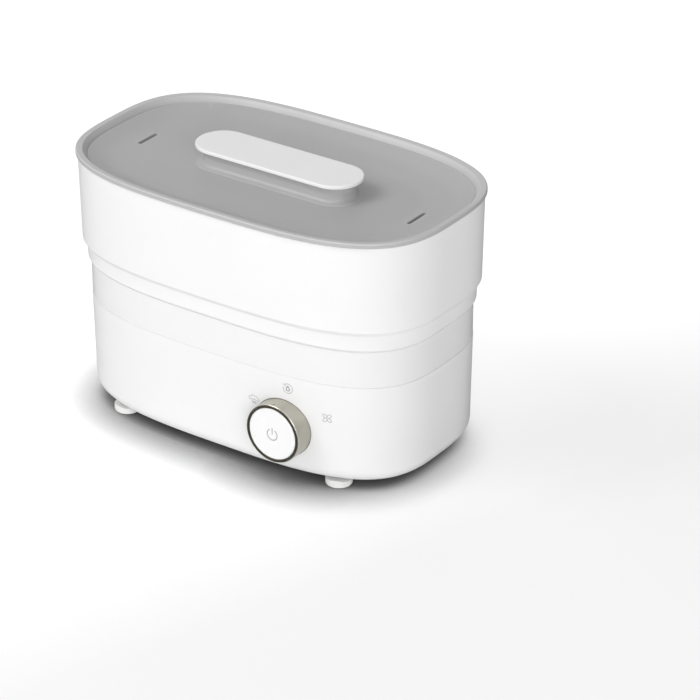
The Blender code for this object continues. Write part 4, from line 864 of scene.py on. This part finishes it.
def sign_fan():
    """Four rounded blades and their hub."""
    blades = []
    for turn in turns(96):
        reach = 1.0 + 2.9 * abs(math.sin(2 * turn)) ** 1.25
        blades.append((reach * math.cos(turn), reach * math.sin(turn)))
    parts = [strip(shifted(blades, FAN_SIGN), STROKE, on_wall, closed=True)]
    parts.append(strip(arc(FAN_SIGN, 0.55, 0, 330, 11), 0.3, on_wall, closed=True))
    return merged(parts)


def sign_power():
    ring = strip(arc((KNOB_X, KNOB_Z - 0.6), 4.2, 120, 420, 60), BOLD_STROKE, on_button)
    bar = strip([(KNOB_X, KNOB_Z - 0.4), (KNOB_X, KNOB_Z + 4.6)], BOLD_STROKE, on_button)
    return merged([ring, bar])


def make_signs():
    show("sign_steam", sign_steam(), "print", "base", "lid_grey")
    show("sign_cycle", sign_cycle(), "print", "base", "lid_grey")
    show("sign_drop", sign_drop(), "print_dark", "base", "lid_grey")
    show("sign_fan", sign_fan(), "print", "base", "lid_grey")
    show("sign_power", sign_power(), "print", "power_button", "lid_grey")


# Basket, rack and lid.


def make_basket():
    """The open steam basket, with its two steps outwards and a lip that stands in the tray."""
    low, top = BASKET_LOW, BASKET_TOP
    profile = [
        (22.0, low, 0.4), (12.7, low, 0.5), (12.7, 106.5, 0.4), (11.0, 106.5, 0.4), (10.6, low, 0.2),
        (7.6, low, 0.1), (5.6, 113.6, 1.2), (5.4, 125.1, 2.6), (2.4, 128.4, 1.8), (1.3, top, 0.5),
        (3.5, top, 0.4), (4.5, 130.0, 3.0), (7.8, 124.0, 3.0), (8.2, 113.4, 1.0), (22.0, 113.4, 0.4),
    ]
    show("steam_basket", shell(profile, ring=True), "basket", "basket", "basket_white", "basket")


def make_rack():
    """The loose plate in the basket, with rows of slots and eight pegs."""
    low, top = RACK_LOW, RACK_TOP
    data = shell([(60.0, low, 0), (9.2, low, 0.5), (9.2, top, 0.6), (60.0, top, 0)])
    slots = []
    for column in range(7):
        for row in range(4):
            centre = Vector(((column - 3) * 32.0, (row - 1.5) * 30.0, 0))
            loops = [stadium(11.0, 3.0, z, steps=10) for z in (low - 1, top + 1)]
            slots.append(skin([[point + centre for point in loop] for loop in loops]))
    data = combine(data, merged(slots))
    tip = low + 14
    peg = [(3.6, low + 1.0, 0), (3.6, top, 0), (2.9, top + 1.4, 1.2), (2.4, tip - 1.0, 0.8), (0.6, tip, 0)]
    places = [((column - 1.5) * 64.0, (row - 0.5) * 60.0, 0) for column in range(4) for row in range(2)]
    data = combine(data, merged([turned(peg, at, count=40) for at in places]), "UNION")
    show("bottle_rack", data, "inner", "rack", "inner_white", "rack_plate")


def neck_loop(out, height):
    """The neck's edge, grown by a distance, with one point for each point of the lid's outline."""
    half_length, half_width = NECK[0] + out, NECK[1] + out
    centre = half_length - half_width
    points = []
    for point in outline(0.0, height):
        way = Vector((point.x, point.y)).normalized()
        x = abs(way.x) * half_width / max(abs(way.y), 0.001)
        if x > centre:
            middle = abs(way.x) * centre
            x = (middle + math.sqrt(middle * middle - centre * centre + half_width * half_width)) * abs(way.x)
        y = x * abs(way.y) / abs(way.x) if x > centre else half_width
        points.append(Vector((math.copysign(x, way.x), math.copysign(y, way.y), height)))
    return points


def make_lid():
    """The lid: a raised rim, a step down with a fine line at its foot, a dished panel, and the neck."""
    under, top, line_z = LID_LOW, LID_TOP, 193.0
    profile = [
        (70.0, PANEL_UNDER, 0), (32.0, PANEL_UNDER, 8), (17.0, PANEL_UNDER + 1, 6), (10.5, 188.1, 2),
        (5.9, 192.4, 1.5), (5.9, 186.2, 0.4), (4.2, 186.2, 0.4), (3.9, under, 0.3), (0.0, under, 0.4),
        (0.0, top, 1.0), (4.4, top - 0.6, 0.5), (7.4, line_z + 0.5, 0.15), (7.5, line_z, 0.1),
        (7.85, line_z, 0.1), (7.95, line_z + 0.2, 0.2), (21.0, 189.0, 35.0), (40.0, PANEL_Z, 60.0),
        (50.0, PANEL_Z, 0),
    ]
    flare = [
        (12.0, PANEL_Z, 0), (5.0, PANEL_Z, 1.0), (4.2, 188.0, 0.9), (0.8, 189.0, 3.0), (0.0, 194.5, 3.0),
        (0.0, NECK_TOP, 0),
    ]
    loops = [outline(inset, height) for inset, height in rounded(profile)]
    loops += [neck_loop(out, height) for out, height in rounded(flare)]
    wall = 2.5
    hollow = [stadium(NECK[0] - wall, NECK[1] - wall, z) for z in (PANEL_UNDER - 1.5, NECK_TOP - 2.0)]
    data = combine(skin(loops), skin(hollow))
    holes = [rod(3.3, NECK_TOP - 3.2, NECK_TOP + 0.8, (x, 0, 0), count=40) for x in (-PEG_X, PEG_X)]
    data = combine(data, merged(holes))
    slots = []
    for x in (-SLOT_X, SLOT_X):
        loops = []
        for size in ((10.8, 1.3, PANEL_UNDER - 1.5), (10.8, 1.3, PANEL_Z - 0.4), (11.4, 1.9, PANEL_Z + 1.7)):
            loops.append([Vector((x - point.y, point.x, point.z)) for point in stadium(*size, steps=12)])
        slots.append(skin(loops))
    data = combine(data, merged(slots))
    show("lid_dish", data, "lid", "lid", "lid_grey", "lid_shell")


def make_handle():
    """The flat bar on the neck, its two pegs, and the screws that hold them from under the lid."""
    under, top = HANDLE_LOW, HANDLE_TOP
    edge = [(1.0, under, 0), (0.0, under, 0.8), (0.0, top, 0.9), (3.0, top, 0), (12.0, top, 0)]
    data = skin([stadium(HANDLE[0] - inset, HANDLE[1] - inset, z, 32) for inset, z in rounded(edge)])
    end = under - PEG_LENGTH
    sleeve = [(3.0, end, 0.3), (3.0, under + 1, 0), (1.5, under + 1, 0), (1.5, end, 0)]
    pegs = [turned(sleeve, (x, 0, 0), ring=True, count=40) for x in (-PEG_X, PEG_X)]
    show("handle_bar", combine(data, merged(pegs), "UNION"), "handle", "lid", "handle_white", "handle_cap")
    profile = [
        (0.8, end - 2.4, 0), (3.2, end - 2.4, 0.7), (3.2, end - GAP, 0.2), (1.2, end - GAP, 0),
        (1.2, end + 4.2, 0.4), (0.4, end + 4.5, 0),
    ]
    for name, x in (("left", -PEG_X), ("right", PEG_X)):
        screw = cross_cut(turned(profile, (x, 0, 0), count=48), x, 0, 1.8, end - 4, end - 1.6)
        show("lid_screw_" + name, screw, "steel", "lid", "stainless", "handle_screw_" + name)


# CAD pieces that are shown as they are.


def dress_carried():
    """Gives each CAD piece that is kept its finish and softly broken edges."""
    for name, look in CARRIED.items():
        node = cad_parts[name]
        node.data.materials.clear()
        node.data.materials.append(FINISHES[look])
        weld = node.modifiers.new("weld", "WELD")
        weld.merge_threshold = 0.01 * UNIT
        edge = node.modifiers.new("edge", "BEVEL")
        edge.width = 0.25 * UNIT
        edge.segments = 2
        edge.limit_method = "ANGLE"
        edge.angle_limit = math.radians(40)
        edge.use_clamp_overlap = True


# Stage.


def floor_look():
    """A white floor that can't be seen from below, with a painted shadow close under the object.

    Only the camera sees the painted shadow, and a painted glow that fades to the right; other rays meet a
    plain floor, and mirrors see a dimmer one."""
    look = bpy.data.materials.new("floor")
    look.use_nodes = True
    tree = look.node_tree
    lean = add_node(tree, "CombineXYZ", dict(zip("XYZ", SHADOW_LEAN))).outputs["Vector"]
    inputs = {"Distance": SHADOW_REACH, "Normal": lean}
    open_share = add_node(tree, "AmbientOcclusion", inputs, samples=SHADOW_SAMPLES).outputs["AO"]
    rays = add_node(tree, "LightPath").outputs

    def for_camera(plain, shown):
        other = graded(tree, rays["Is Glossy Ray"], (0.0, 1.0), (plain, plain * MIRRORED_SHARE))
        return mixed_numbers(tree, rays["Is Camera Ray"], other, shown)

    # Painted light and shade for the camera: a darker, dimmer floor where it is less open, and a glow that
    # fades to the right.
    place = add_node(tree, "NewGeometry").outputs
    strength = graded(tree, dot(tree, place["Position"], GLOW_SIDE), GLOW_REACH, GLOW_STRENGTH)
    painted_glow = times(tree, graded(tree, open_share, GLOW_OPENNESS, (0.0, 1.0)), strength)
    shader = tree.nodes["Principled BSDF"]
    feed(tree, shader, {
        "Base Color": for_camera(FLOOR_BOUNCE, graded(tree, open_share, SHADOW_COLOUR_OPENNESS, PAINTED_SHADOW_COLOUR)),
        "Roughness": 0.9,
        "Specular IOR Level": 0.0,
        "Emission Color": (1, 1, 1, 1),
        "Emission Strength": for_camera(0.0, painted_glow),
    })
    clear = add_node(tree, "BsdfTransparent").outputs["BSDF"]
    surface = mixed_shaders(tree, place["Backfacing"], shader.outputs["BSDF"], clear)
    feed(tree, tree.nodes["Material Output"], {"Surface": surface})
    return look


def make_floor():
    data = bpy.data.meshes.new("floor")
    corners = [(x * FLOOR_HALF, y * FLOOR_HALF, 0) for x, y in ((-1, -1), (1, -1), (1, 1), (-1, 1))]
    data.from_pydata(corners, [], [(0, 1, 2, 3)])
    data.materials.append(floor_look())
    floor = bpy.data.objects.new("floor", data)
    bpy.context.scene.collection.objects.link(floor)


def make_lights():
    """A soft key from the upper left, and low fills from the right and the back."""
    for name, place, size, power, mirrored in LIGHTS:
        data = bpy.data.lights.new(name, "AREA")
        data.shape = "DISK"
        data.size = size
        data.energy = power
        light = bpy.data.objects.new(name, data)
        bpy.context.scene.collection.objects.link(light)
        light.location = place
        light.rotation_mode = "QUATERNION"
        light.rotation_quaternion = (LIGHT_TARGET - Vector(place)).to_track_quat("-Z", "Y")
        light.visible_glossy = mirrored


def make_studio():
    """Light from all round, stronger from one side, in front of a white backdrop."""
    world = bpy.data.worlds.new("studio")
    bpy.context.scene.world = world
    world.use_nodes = True
    tree = world.node_tree
    side = dot(tree, add_node(tree, "TexCoord").outputs["Generated"], STUDIO_SIDE)
    sky, white = tree.nodes["Background"], (1, 1, 1, 1)
    feed(tree, sky, {"Color": white, "Strength": graded(tree, side, STUDIO_REACH, STUDIO_STRENGTH)})
    backdrop = add_node(tree, "Background", {"Color": white, "Strength": 1.0})
    seen = add_node(tree, "LightPath").outputs["Is Camera Ray"]
    surface = mixed_shaders(tree, seen, sky.outputs["Background"], backdrop.outputs["Background"])
    feed(tree, tree.nodes["World Output"], {"Surface": surface})


def make_camera():
    data = bpy.data.cameras.new("camera")
    data.lens = CAMERA_LENS
    data.sensor_width = 36.0
    data.clip_start, data.clip_end = 0.1, 50.0
    camera = bpy.data.objects.new("camera", data)
    bpy.context.scene.collection.objects.link(camera)
    turn, rise = math.radians(CAMERA_AZIMUTH), math.radians(CAMERA_ELEVATION)
    back = Vector((math.sin(turn) * math.cos(rise), -math.cos(turn) * math.cos(rise), math.sin(rise)))
    camera.location = CAMERA_TARGET + back * CAMERA_DISTANCE
    camera.rotation_mode = "QUATERNION"
    camera.rotation_quaternion = (-back).to_track_quat("-Z", "Y")
    bpy.context.scene.camera = camera


bpy.context.scene.view_settings.view_transform = "Standard"
FINISHES = {name: finish(name, **look) for name, look in LOOKS.items()}
make_base()
make_bottom()
make_feet()
make_tray()
make_plate()
make_outlet()
make_door()
make_cord()
make_plug()
make_knob()
make_button()
make_signs()
make_basket()
make_rack()
make_lid()
make_handle()
dress_carried()
make_floor()
make_lights()
make_studio()
make_camera()
